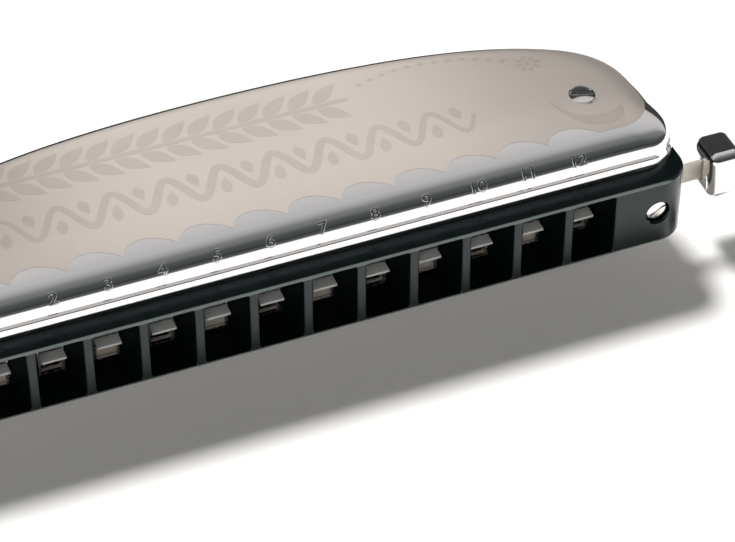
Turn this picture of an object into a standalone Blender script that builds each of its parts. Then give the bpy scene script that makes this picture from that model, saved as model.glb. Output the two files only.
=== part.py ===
"""A twelve-hole chromatic harmonica with a slide, taken apart into the pieces it is put together from.

Metres, +Z up. +X points along the holes to the slide button, -Y to the player's lips. The origin is halfway
along the holes, in the flat of the bottom cover that the harmonica lies on. The lower half mirrors the upper
half about MID_Z.
"""

import math

import bmesh
import bpy
from mathutils import Matrix, Vector

MM = 0.001

# Driving sizes of the whole body.
HALF_LENGTH = 69.0 * MM
DEPTH = 41.8 * MM
HEIGHT = 29.0 * MM
HOLES = 12
PITCH = 9.2 * MM
GAP = 0.3 * MM
SHEET = 0.5 * MM
MID_Z = HEIGHT / 2
LIP_Y = -25.0 * MM

# Mouthpiece: a bar with tapered mouth holes and a channel at its back for the slide and its guides.
MOUTH_HEIGHT = 13.0 * MM
MOUTH_DEPTH = 8.8 * MM
MOUTH_EDGE = 0.45 * MM
HOLE_WIDTH = 7.68 * MM
HOLE_BACK_WIDTH = 4.4 * MM
HOLE_HEIGHT = 11.9 * MM
CHANNEL_FRONT = 6.3 * MM
CHANNEL_HALF_LENGTH = 58.6 * MM
CHANNEL_HEIGHT = 11.7 * MM
CORNER_RADIUS = 5.5 * MM

# Slide, its two guides and the button. Depths are measured from the lips.
GUIDE_FRONT_AT = CHANNEL_FRONT + GAP
SLIDE_AT = GUIDE_FRONT_AT + SHEET + GAP
SLIDE_THICKNESS = 0.6 * MM
GUIDE_BACK_AT = SLIDE_AT + SLIDE_THICKNESS + GAP
GUIDE_HALF_LENGTH = CHANNEL_HALF_LENGTH - GAP
GUIDE_HEIGHT = 11.1 * MM
TRAVEL = PITCH / 2
WINDOW_WIDTH = 3.4 * MM
WINDOW_HEIGHT = 2.9 * MM
WINDOW_RISE = 3.75 * MM
TONGUE_REACH = 2.3 * MM
TONGUE_WIDTH = 4.0 * MM
TONGUE_THICKNESS = 0.4 * MM
TONGUE_DIP = 0.75 * MM
TONGUE_DROP = math.radians(6)
SLIDE_HEIGHT = 10.9 * MM
SLIDE_LEFT = -53.6 * MM
SLIDE_RIGHT = 58.2 * MM
TANG_HEIGHT = 7.0 * MM
TANG_RIGHT = 70.0 * MM
NECK_HEIGHT = 3.8 * MM
NECK_RIGHT = 76.6 * MM
BUTTON_LEFT = 74.3 * MM
BUTTON_SIZE = (6.2 * MM, 7.6 * MM, 9.4 * MM)
BUTTON_EDGE = 1.4 * MM

# Return spring, in a chamber at the left end that is above the mouthpiece screw.
SPRING_Z = MID_Z + 3.1 * MM
SPRING_DEPTH = 7.0 * MM
SPRING_RADIUS = 1.3 * MM
SPRING_WIRE = 0.2 * MM
SPRING_TURNS = 6
SPRING_STEPS = 8
CHAMBER_LEFT = -66.0 * MM
CHAMBER_FRONT = 5.2 * MM
CHAMBER_HEIGHT = 3.5 * MM
PUSHER_LEFT = -57.9 * MM
PUSHER_HEIGHT = 2.6 * MM

# Comb: cells above and below a web, and end blocks as high as the mouthpiece.
COMB_FRONT = MOUTH_DEPTH + GAP
COMB_HEIGHT = 10.4 * MM
COMB_BACK = 36.0 * MM
END_BLOCK_INSIDE = 57.4 * MM
PLATE_POCKET = 54.2 * MM
COMB_INSET = 0.3 * MM
WEB = 2.0 * MM
CELL_WIDTH = 7.0 * MM
CELL_SPARE = 0.8 * MM

# Reed plates and reeds. The low notes on the left have the longest reeds.
PLATE_THICKNESS = 1.0 * MM
PLATE_HALF_LENGTH = PLATE_POCKET - GAP
PLATE_BACK = COMB_BACK - GAP
SLOT_FRONT = 12.4 * MM
LONGEST_REED = 18.5 * MM
SHORTEST_REED = 10.5 * MM
SLOT_WIDTH = 2.1 * MM
REED_OFFSET = 1.9 * MM
REED_THICKNESS = 0.25 * MM
REED_ROOT = 1.8 * MM
REED_TIP = 1.5 * MM
REED_PAD = 2.4 * MM
REED_PAD_WIDTH = 2.8 * MM

# Screws: head radius, head height, shank radius.
COVER_SCREW = (2.25 * MM, 0.45 * MM, 0.9 * MM)
MOUTH_SCREW = (1.8 * MM, 0.8 * MM, 0.8 * MM)
PLATE_SCREW = (1.3 * MM, 0.6 * MM, 0.6 * MM)
MOUTH_SCREW_LENGTH = 13.5 * MM
SCREW_CLEARANCE = 0.3 * MM
SLOT_SHARE = 0.22
SLOT_FLOOR = 0.55
HEAD_CHAMFER = 0.33
SCREW_SPARE = 0.4 * MM
SCREW_FLOOR = WEB / 2 + 2 * GAP
COVER_SCREW_X = 55.9 * MM
COVER_SCREW_DEPTH = 17.7 * MM
MOUTH_SCREW_X = 62.5 * MM
PLATE_SCREW_XS = (-5 * PITCH, 0.0, 5 * PITCH)
PLATE_SCREW_DEPTH = 33.6 * MM

# Covers: an outline at the rim that shrinks inwards as it rises. Each profile lists how far the surface has
# moved in from the rim and how far it has risen above it, at the same number of stations.
COVER_SHEET = 0.5 * MM
COVER_FRONT = 4.9 * MM
COVER_RIM_Z = MID_Z + MOUTH_HEIGHT / 2 + GAP + 0.05 * MM
COVER_BOW = 1.5
COVER_POWER = 4.05
FRONT_PROFILE = ((0, 0), (0.5, 1.3), (1, 3.1), (2.4, 4.7), (4.6, 5.8), (7.7, 6.8), (10.6, 7.4), (12.5, 7.65))
END_PROFILE = ((0, 0), (0.1, 1.7), (0.7, 3.6), (2.1, 5.2), (4.6, 6.4), (8.4, 7.2), (13.0, 7.6), (15.0, 7.65))
BACK_PROFILE = ((0, 0), (0, 3.1), (0, 5.7), (0.35, 6.3), (1.0, 6.7), (2.4, 7.1), (4.6, 7.5), (8.0, 7.65))
SEAT_RADIUS = 2.65 * MM
SEAT_DEPTH = 0.8 * MM
SOUND_HALF_WIDTH = 50.0 * MM
SOUND_TOP = 5.2 * MM
BACK_POINTS = 30
CORNER_POINTS = 4
FRONT_POINTS = 6

BLACK = ("black_abs", (0.012, 0.013, 0.014), 0.22, 0.0)
CHROME = ("polished_steel", (0.72, 0.71, 0.69), 0.15, 1.0)
NICKEL = ("nickel", (0.60, 0.60, 0.58), 0.30, 1.0)
BRASS = ("brass", (0.72, 0.52, 0.22), 0.30, 1.0)
SPRING_STEEL = ("spring_steel", (0.45, 0.45, 0.46), 0.25, 1.0)


def clear_scene():
    for obj in list(bpy.data.objects):
        bpy.data.objects.remove(obj, do_unlink=True)


def collection(name):
    made = bpy.data.collections.new(name)
    bpy.context.scene.collection.children.link(made)
    return made


def material(look):
    name, colour, roughness, metallic = look
    found = bpy.data.materials.get(name)
    if found:
        return found
    made = bpy.data.materials.new(name)
    made.use_nodes = True
    shader = made.node_tree.nodes["Principled BSDF"]
    shader.inputs["Base Color"].default_value = (*colour, 1.0)
    shader.inputs["Roughness"].default_value = roughness
    shader.inputs["Metallic"].default_value = metallic
    made.diffuse_color = (*colour, 1.0)
    return made


def add_part(name, data, look):
    obj = bpy.data.objects.new(name, data)
    PARTS.objects.link(obj)
    obj.data.materials.append(material(look))
    return obj


def mesh_from(bm, name):
    bmesh.ops.recalc_face_normals(bm, faces=bm.faces)
    mesh = bpy.data.meshes.new(name)
    bm.to_mesh(mesh)
    bm.free()
    return mesh


def depth_y(depth):
    """The y of a place this far behind the lips."""
    return LIP_Y + depth


def add_box(bm, low, high):
    """Adds a box between two corners to a bmesh, and returns its vertices."""
    made = bmesh.ops.create_cube(bm, size=1.0)["verts"]
    for vert in made:
        for i in range(3):
            vert.co[i] = low[i] if vert.co[i] < 0 else high[i]
    return made


def add_cylinder(bm, x, y, z_low, z_high, radius, sides=20):
    """Adds an upright cylinder to a bmesh, and returns its vertices."""
    made = bmesh.ops.create_cone(
        bm, cap_ends=True, segments=sides, radius1=radius, radius2=radius, depth=z_high - z_low
    )["verts"]
    bmesh.ops.translate(bm, verts=made, vec=(x, y, (z_low + z_high) / 2))
    return made


def cutter(name, bm):
    obj = bpy.data.objects.new(name, mesh_from(bm, name))
    CUTTERS.objects.link(obj)
    obj.hide_render = True
    obj.display_type = "WIRE"
    return obj


def boolean(obj, tool, operation="DIFFERENCE"):
    modifier = obj.modifiers.new(operation.title(), "BOOLEAN")
    modifier.operation = operation
    modifier.object = tool


def round_edges(obj, width, segments=2, angle=math.radians(40)):
    modifier = obj.modifiers.new("Bevel", "BEVEL")
    modifier.width = width
    modifier.segments = segments
    modifier.limit_method = "ANGLE"
    modifier.angle_limit = angle


def shade_smooth(obj, angle=math.radians(35)):
    obj.data.shade_smooth()
    obj.data.set_sharp_from_angle(angle=angle)


def extruded_mesh(name, points, z_low, z_high):
    """A flat outline given thickness, as a mesh."""
    curve = bpy.data.curves.new(name, "CURVE")
    curve.dimensions = "2D"
    curve.fill_mode = "BOTH"
    curve.extrude = (z_high - z_low) / 2
    spline = curve.splines.new("POLY")
    spline.points.add(len(points) - 1)
    for point, (x, y) in zip(spline.points, points):
        point.co = (x, y, 0.0, 1.0)
    spline.use_cyclic_u = True
    holder = bpy.data.objects.new(name, curve)
    bpy.context.scene.collection.objects.link(holder)
    bpy.context.view_layer.update()
    evaluated = holder.evaluated_get(bpy.context.evaluated_depsgraph_get())
    mesh = bpy.data.meshes.new_from_object(evaluated)
    bpy.data.objects.remove(holder, do_unlink=True)
    bpy.data.curves.remove(curve)
    bm = bmesh.new()
    bm.from_mesh(mesh)
    bpy.data.meshes.remove(mesh)
    bmesh.ops.remove_doubles(bm, verts=bm.verts, dist=0.001 * MM)
    bmesh.ops.translate(bm, verts=bm.verts, vec=(0, 0, (z_low + z_high) / 2))
    return mesh_from(bm, name)


def hole_x(number):
    """The middle of a mouth hole, counted from 1 at the left."""
    return (number - (HOLES + 1) / 2) * PITCH


def reed_length(number):
    share = (number - 1) / (HOLES - 1)
    return LONGEST_REED + share * (SHORTEST_REED - LONGEST_REED)


def outline(half_length, front, back, corner, back_points, corner_points, front_points):
    """A closed outline seen from above, with each point's share of end, front and back.

    The back is bowed and runs into the ends as a superellipse. The front is straight, with round corners.
    """
    points = []
    for i in range(back_points + 1):
        angle = math.pi * i / back_points
        cos, sin = math.cos(angle), math.sin(angle)
        radius = (abs(cos) ** COVER_POWER + sin**COVER_POWER) ** (-1 / COVER_POWER)
        x = half_length * radius * cos
        reach = back - front - corner - COVER_BOW * x * x
        rise = radius * sin
        slope_x = (abs(x) / half_length) ** (COVER_POWER - 1) / half_length
        slope_y = rise ** (COVER_POWER - 1) / reach
        end_share = slope_x**2 / (slope_x**2 + slope_y**2)
        points.append((x, front + corner + reach * rise, (end_share, 0.0, 1.0 - end_share)))
    for side in (-1, 1):
        arc = []
        for i in range(1, corner_points + 1):
            angle = 0.5 * math.pi * i / corner_points
            x = side * (half_length - corner + corner * math.cos(angle))
            y = front + corner - corner * math.sin(angle)
            arc.append((x, y, (math.cos(angle) ** 2, math.sin(angle) ** 2, 0.0)))
        points += arc if side < 0 else arc[::-1]
        if side < 0:
            straight = half_length - corner
            for i in range(1, front_points):
                points.append((straight * (2 * i / front_points - 1), front, (0.0, 1.0, 0.0)))
    return points


def cover_shell(name):
    """The upper cover's outer surface, open at the rim."""
    bm = bmesh.new()
    rings = []
    for end, front, back in zip(END_PROFILE, FRONT_PROFILE, BACK_PROFILE):
        points = outline(
            HALF_LENGTH - end[0] * MM,
            depth_y(COVER_FRONT) + front[0] * MM,
            LIP_Y + DEPTH - back[0] * MM,
            CORNER_RADIUS,
            BACK_POINTS,
            CORNER_POINTS,
            FRONT_POINTS,
        )
        ring = []
        for x, y, (end_share, front_share, back_share) in points:
            rise = end_share * end[1] + front_share * front[1] + back_share * back[1]
            ring.append(bm.verts.new((x, y, COVER_RIM_Z + rise * MM)))
        rings.append(ring)
    for lower, upper in zip(rings, rings[1:]):
        for i in range(len(lower)):
            j = (i + 1) % len(lower)
            bm.faces.new((lower[i], lower[j], upper[j], upper[i]))
    bm.faces.new(rings[-1])
    return mesh_from(bm, name)


def build_covers():
    """Both covers: shells with a screw seat at each end, open at the back for the sound."""
    top = COVER_RIM_Z + FRONT_PROFILE[-1][1] * MM
    seats = bmesh.new()
    for x in (-COVER_SCREW_X, COVER_SCREW_X):
        y = depth_y(COVER_SCREW_DEPTH)
        add_cylinder(seats, x, y, top - SEAT_DEPTH - SHEET, top - SHEET / 2, SEAT_RADIUS + SHEET)
    seat_tool = cutter("cover_seats", seats)
    recesses, bores = bmesh.new(), bmesh.new()
    for x in (-COVER_SCREW_X, COVER_SCREW_X):
        y = depth_y(COVER_SCREW_DEPTH)
        add_cylinder(recesses, x, y, top - SEAT_DEPTH, top + SHEET, SEAT_RADIUS)
        add_cylinder(bores, x, y, top - 3 * SEAT_DEPTH, top, COVER_SCREW[2] + SCREW_CLEARANCE, 12)
    recess_tool = cutter("cover_seat_recesses", recesses)
    bore_tool = cutter("cover_screw_holes", bores)
    sound = bmesh.new()
    low = (-SOUND_HALF_WIDTH, LIP_Y + COMB_BACK, COVER_RIM_Z - SHEET)
    high = (SOUND_HALF_WIDTH, LIP_Y + DEPTH + SHEET, COVER_RIM_Z + SOUND_TOP)
    add_box(sound, low, high)
    sound_tool = cutter("cover_sound_opening", sound)
    cover = add_part("top_cover", cover_shell("top_cover"), CHROME)
    thickness = cover.modifiers.new("Solidify", "SOLIDIFY")
    thickness.thickness = COVER_SHEET
    thickness.offset = -1.0
    boolean(cover, seat_tool, "UNION")
    boolean(cover, recess_tool)
    boolean(cover, bore_tool)
    boolean(cover, sound_tool)
    return mirrored_copy(cover, "bottom_cover")


def mirrored_copy(obj, name):
    """A copy of an upper piece for the lower half, with its modifiers applied."""
    bpy.context.view_layer.update()
    evaluated = obj.evaluated_get(bpy.context.evaluated_depsgraph_get())
    mesh = bpy.data.meshes.new_from_object(evaluated)
    mesh.name = name
    bm = bmesh.new()
    bm.from_mesh(mesh)
    for vert in bm.verts:
        world = obj.matrix_world @ vert.co
        vert.co = (world.x, world.y, 2 * MID_Z - world.z)
    bmesh.ops.reverse_faces(bm, faces=bm.faces)
    bm.to_mesh(mesh)
    bm.free()
    copy = bpy.data.objects.new(name, mesh)
    PARTS.objects.link(copy)
    return copy


def hole_cutters():
    """Twelve mouth holes that narrow towards the slide."""
    bm = bmesh.new()
    taper = (HOLE_WIDTH - HOLE_BACK_WIDTH) / (2 * CHANNEL_FRONT)
    for number in range(1, HOLES + 1):
        x = hole_x(number)
        low = (x - HOLE_WIDTH / 2, depth_y(-GAP), MID_Z - HOLE_HEIGHT / 2)
        high = (x + HOLE_WIDTH / 2, depth_y(CHANNEL_FRONT + GAP), MID_Z + HOLE_HEIGHT / 2)
        for vert in add_box(bm, low, high):
            narrowing = taper * (vert.co.y - LIP_Y)
            vert.co.x += narrowing if vert.co.x < x else -narrowing
    return cutter("mouth_holes", bm)


def lying_bores(name, depth_low, depth_high, radius):
    """Round holes along Y for the two mouthpiece screws."""
    bm = bmesh.new()
    for x in (-MOUTH_SCREW_X, MOUTH_SCREW_X):
        centre = Vector((x, LIP_Y, MID_Z))
        bore = add_cylinder(bm, x, LIP_Y, MID_Z + depth_low, MID_Z + depth_high, radius)
        bmesh.ops.rotate(bm, verts=bore, cent=centre, matrix=Matrix.Rotation(-math.pi / 2, 3, "X"))
    return cutter(name, bm)


def build_mouthpiece():
    """The black bar that the lips meet."""
    corner = CORNER_RADIUS
    straight = HALF_LENGTH - COMB_INSET - corner
    back = depth_y(MOUTH_DEPTH)
    points = [(straight + corner, back), (-straight - corner, back)]
    for side in (-1, 1):
        arc = []
        for i in range(CORNER_POINTS + 3):
            angle = 0.5 * math.pi * i / (CORNER_POINTS + 2)
            x = straight + corner * math.cos(angle)
            arc.append((side * x, LIP_Y + corner * (1 - math.sin(angle))))
        points += arc if side < 0 else arc[::-1]
    half = MOUTH_HEIGHT / 2
    mesh = extruded_mesh("mouthpiece", points, MID_Z - half, MID_Z + half)
    mouthpiece = add_part("mouthpiece", mesh, BLACK)
    round_edges(mouthpiece, MOUTH_EDGE)
    channel = bmesh.new()
    top = CHANNEL_HEIGHT / 2
    behind = depth_y(MOUTH_DEPTH + GAP)
    add_box(
        channel,
        (-CHANNEL_HALF_LENGTH, depth_y(CHANNEL_FRONT), MID_Z - top),
        (CHANNEL_HALF_LENGTH, behind, MID_Z + top),
    )
    channel_tool = cutter("slide_channel", channel)
    passage = bmesh.new()
    tang = TANG_HEIGHT / 2 + GAP
    add_box(
        passage,
        (CHANNEL_HALF_LENGTH - GAP, depth_y(SLIDE_AT - GAP), MID_Z - tang),
        (HALF_LENGTH + GAP, behind, MID_Z + tang),
    )
    passage_tool = cutter("tang_passage", passage)
    chamber = bmesh.new()
    add_box(
        chamber,
        (CHAMBER_LEFT, depth_y(CHAMBER_FRONT), SPRING_Z - CHAMBER_HEIGHT / 2),
        (-CHANNEL_HALF_LENGTH + GAP, behind, SPRING_Z + CHAMBER_HEIGHT / 2),
    )
    chamber_tool = cutter("spring_chamber", chamber)
    for tool in (channel_tool, passage_tool, chamber_tool, hole_cutters()):
        boolean(mouthpiece, tool)
    head_depth = MOUTH_SCREW[1] + 2 * GAP
    head_radius = MOUTH_SCREW[0] + SCREW_CLEARANCE
    boolean(mouthpiece, lying_bores("mouth_screw_seats", -SHEET, head_depth, head_radius))
    shank_radius = MOUTH_SCREW[2] + SCREW_CLEARANCE
    boolean(mouthpiece, lying_bores("mouth_screw_bores", SHEET, MOUTH_DEPTH + GAP, shank_radius))


def window_boxes(bm, depth_low, depth_high, places):
    """Adds a box for each window: places lists the middle of each as x and rise from the middle height."""
    for x, rise in places:
        z = MID_Z + rise
        add_box(
            bm,
            (x - WINDOW_WIDTH / 2, depth_y(depth_low), z - WINDOW_HEIGHT / 2),
            (x + WINDOW_WIDTH / 2, depth_y(depth_high), z + WINDOW_HEIGHT / 2),
        )


def plate_with_windows(name, at, thickness, low_x, high_x, height, places, look):
    bm = bmesh.new()
    add_box(
        bm,
        (low_x, depth_y(at), MID_Z - height / 2),
        (high_x, depth_y(at + thickness), MID_Z + height / 2),
    )
    plate = add_part(name, mesh_from(bm, name), look)
    windows = bmesh.new()
    window_boxes(windows, at - GAP, at + thickness + GAP, places)
    boolean(plate, cutter(name + "_windows", windows))
    return plate


def build_guides():
    """Two fixed plates with the slide between them. The front one has a bent tongue in each mouth hole."""
    places = [(hole_x(n), side * WINDOW_RISE) for n in range(1, HOLES + 1) for side in (-1, 1)]
    reach = GUIDE_HALF_LENGTH
    plate_with_windows("slide_guide_back", GUIDE_BACK_AT, SHEET, -reach, reach, GUIDE_HEIGHT, places, NICKEL)
    front = plate_with_windows(
        "slide_guide_front", GUIDE_FRONT_AT, SHEET, -reach, reach, GUIDE_HEIGHT, places, NICKEL
    )
    tongues = bmesh.new()
    for number in range(1, HOLES + 1):
        x = hole_x(number)
        half_width = TONGUE_WIDTH / 2
        half_thickness = TONGUE_THICKNESS / 2
        root = depth_y(GUIDE_FRONT_AT + SHEET / 2)
        low = (x - half_width, root - TONGUE_REACH, MID_Z - half_thickness)
        high = (x + half_width, root, MID_Z + half_thickness)
        for vert in add_box(tongues, low, high):
            vert.co.z += (vert.co.y - root) * math.tan(TONGUE_DROP) - TONGUE_DIP
    boolean(front, cutter("guide_tongues", tongues), "UNION")


def build_slide():
    """The slide: at rest it opens the upper cells of odd holes and the lower cells of even ones."""
    places = []
    for number in range(1, HOLES + 1):
        side = 1 if number % 2 else -1
        places.append((hole_x(number), side * WINDOW_RISE))
        places.append((hole_x(number) + TRAVEL, -side * WINDOW_RISE))
    slide = plate_with_windows(
        "slide", SLIDE_AT, SLIDE_THICKNESS, SLIDE_LEFT, SLIDE_RIGHT, SLIDE_HEIGHT, places, NICKEL
    )
    ends = bmesh.new()
    front, back = depth_y(SLIDE_AT), depth_y(SLIDE_AT + SLIDE_THICKNESS)
    pusher = PUSHER_HEIGHT / 2
    add_box(ends, (PUSHER_LEFT, front, SPRING_Z - pusher), (SLIDE_LEFT + SHEET, back, SPRING_Z + pusher))
    tang = TANG_HEIGHT / 2
    add_box(ends, (SLIDE_RIGHT - SHEET, front, MID_Z - tang), (TANG_RIGHT, back, MID_Z + tang))
    boolean(slide, cutter("slide_ends", ends), "UNION")
    neck = bmesh.new()
    half_neck = NECK_HEIGHT / 2
    add_box(neck, (TANG_RIGHT - SHEET, front, MID_Z - half_neck), (NECK_RIGHT, back, MID_Z + half_neck))
    boolean(slide, cutter("slide_neck", neck), "UNION")
    slot = bmesh.new()
    half_slot = MOUTH_SCREW[2] + SCREW_CLEARANCE
    add_box(
        slot,
        (MOUTH_SCREW_X - half_slot, front - GAP, MID_Z - half_slot),
        (MOUTH_SCREW_X + half_slot + TRAVEL, back + GAP, MID_Z + half_slot),
    )
    boolean(slide, cutter("slide_screw_slot", slot))


def build_button():
    """The knob on the slide's end, with a socket for the slide's neck."""
    length, depth, height = BUTTON_SIZE
    middle = depth_y(SLIDE_AT + SLIDE_THICKNESS / 2)
    bm = bmesh.new()
    add_box(
        bm,
        (BUTTON_LEFT, middle - depth / 2, MID_Z - height / 2),
        (BUTTON_LEFT + length, middle + depth / 2, MID_Z + height / 2),
    )
    button = add_part("slide_button", mesh_from(bm, "slide_button"), CHROME)
    round_edges(button, BUTTON_EDGE, 3)
    shade_smooth(button)
    socket = bmesh.new()
    half_depth = SLIDE_THICKNESS / 2 + GAP
    half_height = NECK_HEIGHT / 2 + GAP
    add_box(
        socket,
        (BUTTON_LEFT - GAP, middle - half_depth, MID_Z - half_height),
        (NECK_RIGHT + GAP, middle + half_depth, MID_Z + half_height),
    )
    boolean(button, cutter("button_socket", socket))


def build_spring():
    """The coil between the left end of its chamber and the slide."""
    start = CHAMBER_LEFT + GAP + SPRING_WIRE
    end = PUSHER_LEFT - GAP - SPRING_WIRE
    steps = SPRING_TURNS * SPRING_STEPS
    curve = bpy.data.curves.new("return_spring", "CURVE")
    curve.dimensions = "3D"
    curve.bevel_depth = SPRING_WIRE
    curve.bevel_resolution = 1
    curve.use_fill_caps = True
    spline = curve.splines.new("POLY")
    spline.points.add(steps)
    for i, point in enumerate(spline.points):
        angle = 2 * math.pi * i / SPRING_STEPS
        point.co = (
            start + (end - start) * i / steps,
            depth_y(SPRING_DEPTH) + SPRING_RADIUS * math.cos(angle),
            SPRING_Z + SPRING_RADIUS * math.sin(angle),
            1.0,
        )
    add_part("return_spring", curve, SPRING_STEEL)


def build_comb():
    """The black body: end blocks to the rims of the covers, and cells above and below the web."""
    points = outline(
        HALF_LENGTH - COMB_INSET,
        depth_y(COMB_FRONT) - CORNER_RADIUS,
        LIP_Y + DEPTH - COMB_INSET,
        CORNER_RADIUS,
        BACK_POINTS,
        1,
        2,
    )
    rear = [(x, y) for x, y, _ in points[: BACK_POINTS + 1]]
    half = MOUTH_HEIGHT / 2
    comb = add_part("comb", extruded_mesh("comb", rear, MID_Z - half, MID_Z + half), BLACK)
    pockets = bmesh.new()
    before = depth_y(COMB_FRONT) - GAP
    behind = LIP_Y + DEPTH + GAP
    for side in (-1, 1):
        z_in = MID_Z + side * COMB_HEIGHT / 2
        z_out = MID_Z + side * (half + GAP)
        add_box(
            pockets,
            (-PLATE_POCKET, before, min(z_in, z_out)),
            (PLATE_POCKET, depth_y(COMB_BACK) + GAP, max(z_in, z_out)),
        )
    pocket_tool = cutter("plate_pockets", pockets)
    rear_cut = bmesh.new()
    add_box(
        rear_cut,
        (-END_BLOCK_INSIDE, depth_y(COMB_BACK), MID_Z - half - GAP),
        (END_BLOCK_INSIDE, behind, MID_Z + half + GAP),
    )
    rear_tool = cutter("comb_rear", rear_cut)
    cells = bmesh.new()
    for number in range(1, HOLES + 1):
        x = hole_x(number)
        back = depth_y(SLOT_FRONT + reed_length(number) + CELL_SPARE)
        for side in (-1, 1):
            z_in = MID_Z + side * WEB / 2
            z_out = MID_Z + side * (COMB_HEIGHT / 2 + GAP)
            add_box(
                cells,
                (x - CELL_WIDTH / 2, before, min(z_in, z_out)),
                (x + CELL_WIDTH / 2, back, max(z_in, z_out)),
            )
    cell_tool = cutter("air_cells", cells)
    bores = bmesh.new()
    for side in (-1, 1):
        for x in (-COVER_SCREW_X, COVER_SCREW_X):
            screw_hole(bores, x, COVER_SCREW_DEPTH, side, COVER_SCREW, half)
        for x in PLATE_SCREW_XS:
            screw_hole(bores, x, PLATE_SCREW_DEPTH, side, PLATE_SCREW, COMB_HEIGHT / 2)
    bore_tool = cutter("comb_screw_holes", bores)
    for tool in (pocket_tool, rear_tool, cell_tool, bore_tool):
        boolean(comb, tool)
    deepest = MOUTH_SCREW[1] + GAP + MOUTH_SCREW_LENGTH + SCREW_SPARE
    shank_radius = MOUTH_SCREW[2] + SCREW_CLEARANCE
    boolean(comb, lying_bores("comb_screw_bores", MOUTH_DEPTH, deepest, shank_radius))


def screw_hole(bm, x, depth, side, screw, surface):
    """Adds a blind hole for an upright screw, from a face this far from the middle height."""
    z_in = MID_Z + side * SCREW_FLOOR
    z_out = MID_Z + side * (surface + GAP)
    low, high = min(z_in, z_out), max(z_in, z_out)
    add_cylinder(bm, x, depth_y(depth), low, high, screw[2] + SCREW_CLEARANCE, 12)


def reed_slot_boxes(bm, z_low, z_high):
    for number in range(1, HOLES + 1):
        for offset in (-REED_OFFSET, REED_OFFSET):
            x = hole_x(number) + offset
            add_box(
                bm,
                (x - SLOT_WIDTH / 2, depth_y(SLOT_FRONT), z_low),
                (x + SLOT_WIDTH / 2, depth_y(SLOT_FRONT + reed_length(number)), z_high),
            )


def build_reed_plates():
    """Two brass plates, each with a pair of reed slots over every cell."""
    for name, side in (("top_reed_plate", 1), ("bottom_reed_plate", -1)):
        inner = MID_Z + side * (COMB_HEIGHT / 2 + GAP)
        outer = inner + side * PLATE_THICKNESS
        low, high = min(inner, outer), max(inner, outer)
        bm = bmesh.new()
        front = depth_y(COMB_FRONT + GAP)
        add_box(bm, (-PLATE_HALF_LENGTH, front, low), (PLATE_HALF_LENGTH, depth_y(PLATE_BACK), high))
        plate = add_part(name, mesh_from(bm, name), BRASS)
        slots = bmesh.new()
        reed_slot_boxes(slots, low - GAP, high + GAP)
        boolean(plate, cutter(name + "_slots", slots))
        holes = bmesh.new()
        for x in PLATE_SCREW_XS:
            radius = PLATE_SCREW[2] + SCREW_CLEARANCE
            add_cylinder(holes, x, depth_y(PLATE_SCREW_DEPTH), low - GAP, high + GAP, radius, 12)
        boolean(plate, cutter(name + "_holes", holes))


def build_reeds():
    """The outer reed of each hole on each plate: a pad at the front and a tapered tongue over its slot."""
    plate_face = COMB_HEIGHT / 2 + GAP + PLATE_THICKNESS
    for place, side in (("top", 1), ("bottom", -1)):
        near = MID_Z + side * (plate_face + GAP)
        far = near + side * REED_THICKNESS
        for number in range(1, HOLES + 1):
            x = hole_x(number) + REED_OFFSET
            root = depth_y(SLOT_FRONT)
            tip = depth_y(SLOT_FRONT + reed_length(number) - GAP)
            points = (
                (x - REED_PAD_WIDTH / 2, root - REED_PAD),
                (x + REED_PAD_WIDTH / 2, root - REED_PAD),
                (x + REED_PAD_WIDTH / 2, root),
                (x + REED_ROOT / 2, root),
                (x + REED_TIP / 2, tip),
                (x - REED_TIP / 2, tip),
                (x - REED_ROOT / 2, root),
                (x - REED_PAD_WIDTH / 2, root),
            )
            name = f"draw_reed_{place}_{number:02d}"
            add_part(name, extruded_mesh(name, points, min(near, far), max(near, far)), BRASS)


def add_screw(name, screw, length, place, turn, sides=20):
    """A slotted screw, turned from a profile. It stands on the underside of its head, before it is turned."""
    head_radius, head_height, shank_radius = screw
    chamfer = HEAD_CHAMFER * head_height
    profile = (
        (0, head_height),
        (head_radius - chamfer, head_height),
        (head_radius, head_height - chamfer),
        (head_radius, 0),
        (shank_radius, 0),
        (shank_radius, -length),
        (0, -length),
    )
    bm = bmesh.new()
    verts = [bm.verts.new((radius, 0, z)) for radius, z in profile]
    for upper, lower in zip(verts, verts[1:]):
        bm.edges.new((upper, lower))
    mesh = bpy.data.meshes.new(name)
    bm.to_mesh(mesh)
    bm.free()
    body = add_part(name, mesh, NICKEL)
    turned = body.modifiers.new("Screw", "SCREW")
    turned.steps = sides
    turned.render_steps = sides
    turned.use_merge_vertices = True
    turned.merge_threshold = 0.01 * MM
    slot = bmesh.new()
    half_slot = SLOT_SHARE * head_radius / 2
    floor = SLOT_FLOOR * head_height
    add_box(slot, (-2 * head_radius, -half_slot, floor), (2 * head_radius, half_slot, 2 * head_height))
    slot_tool = cutter(name + "_slot", slot)
    for obj in (body, slot_tool):
        obj.location = place
        obj.rotation_euler = turn
    boolean(body, slot_tool)


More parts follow.
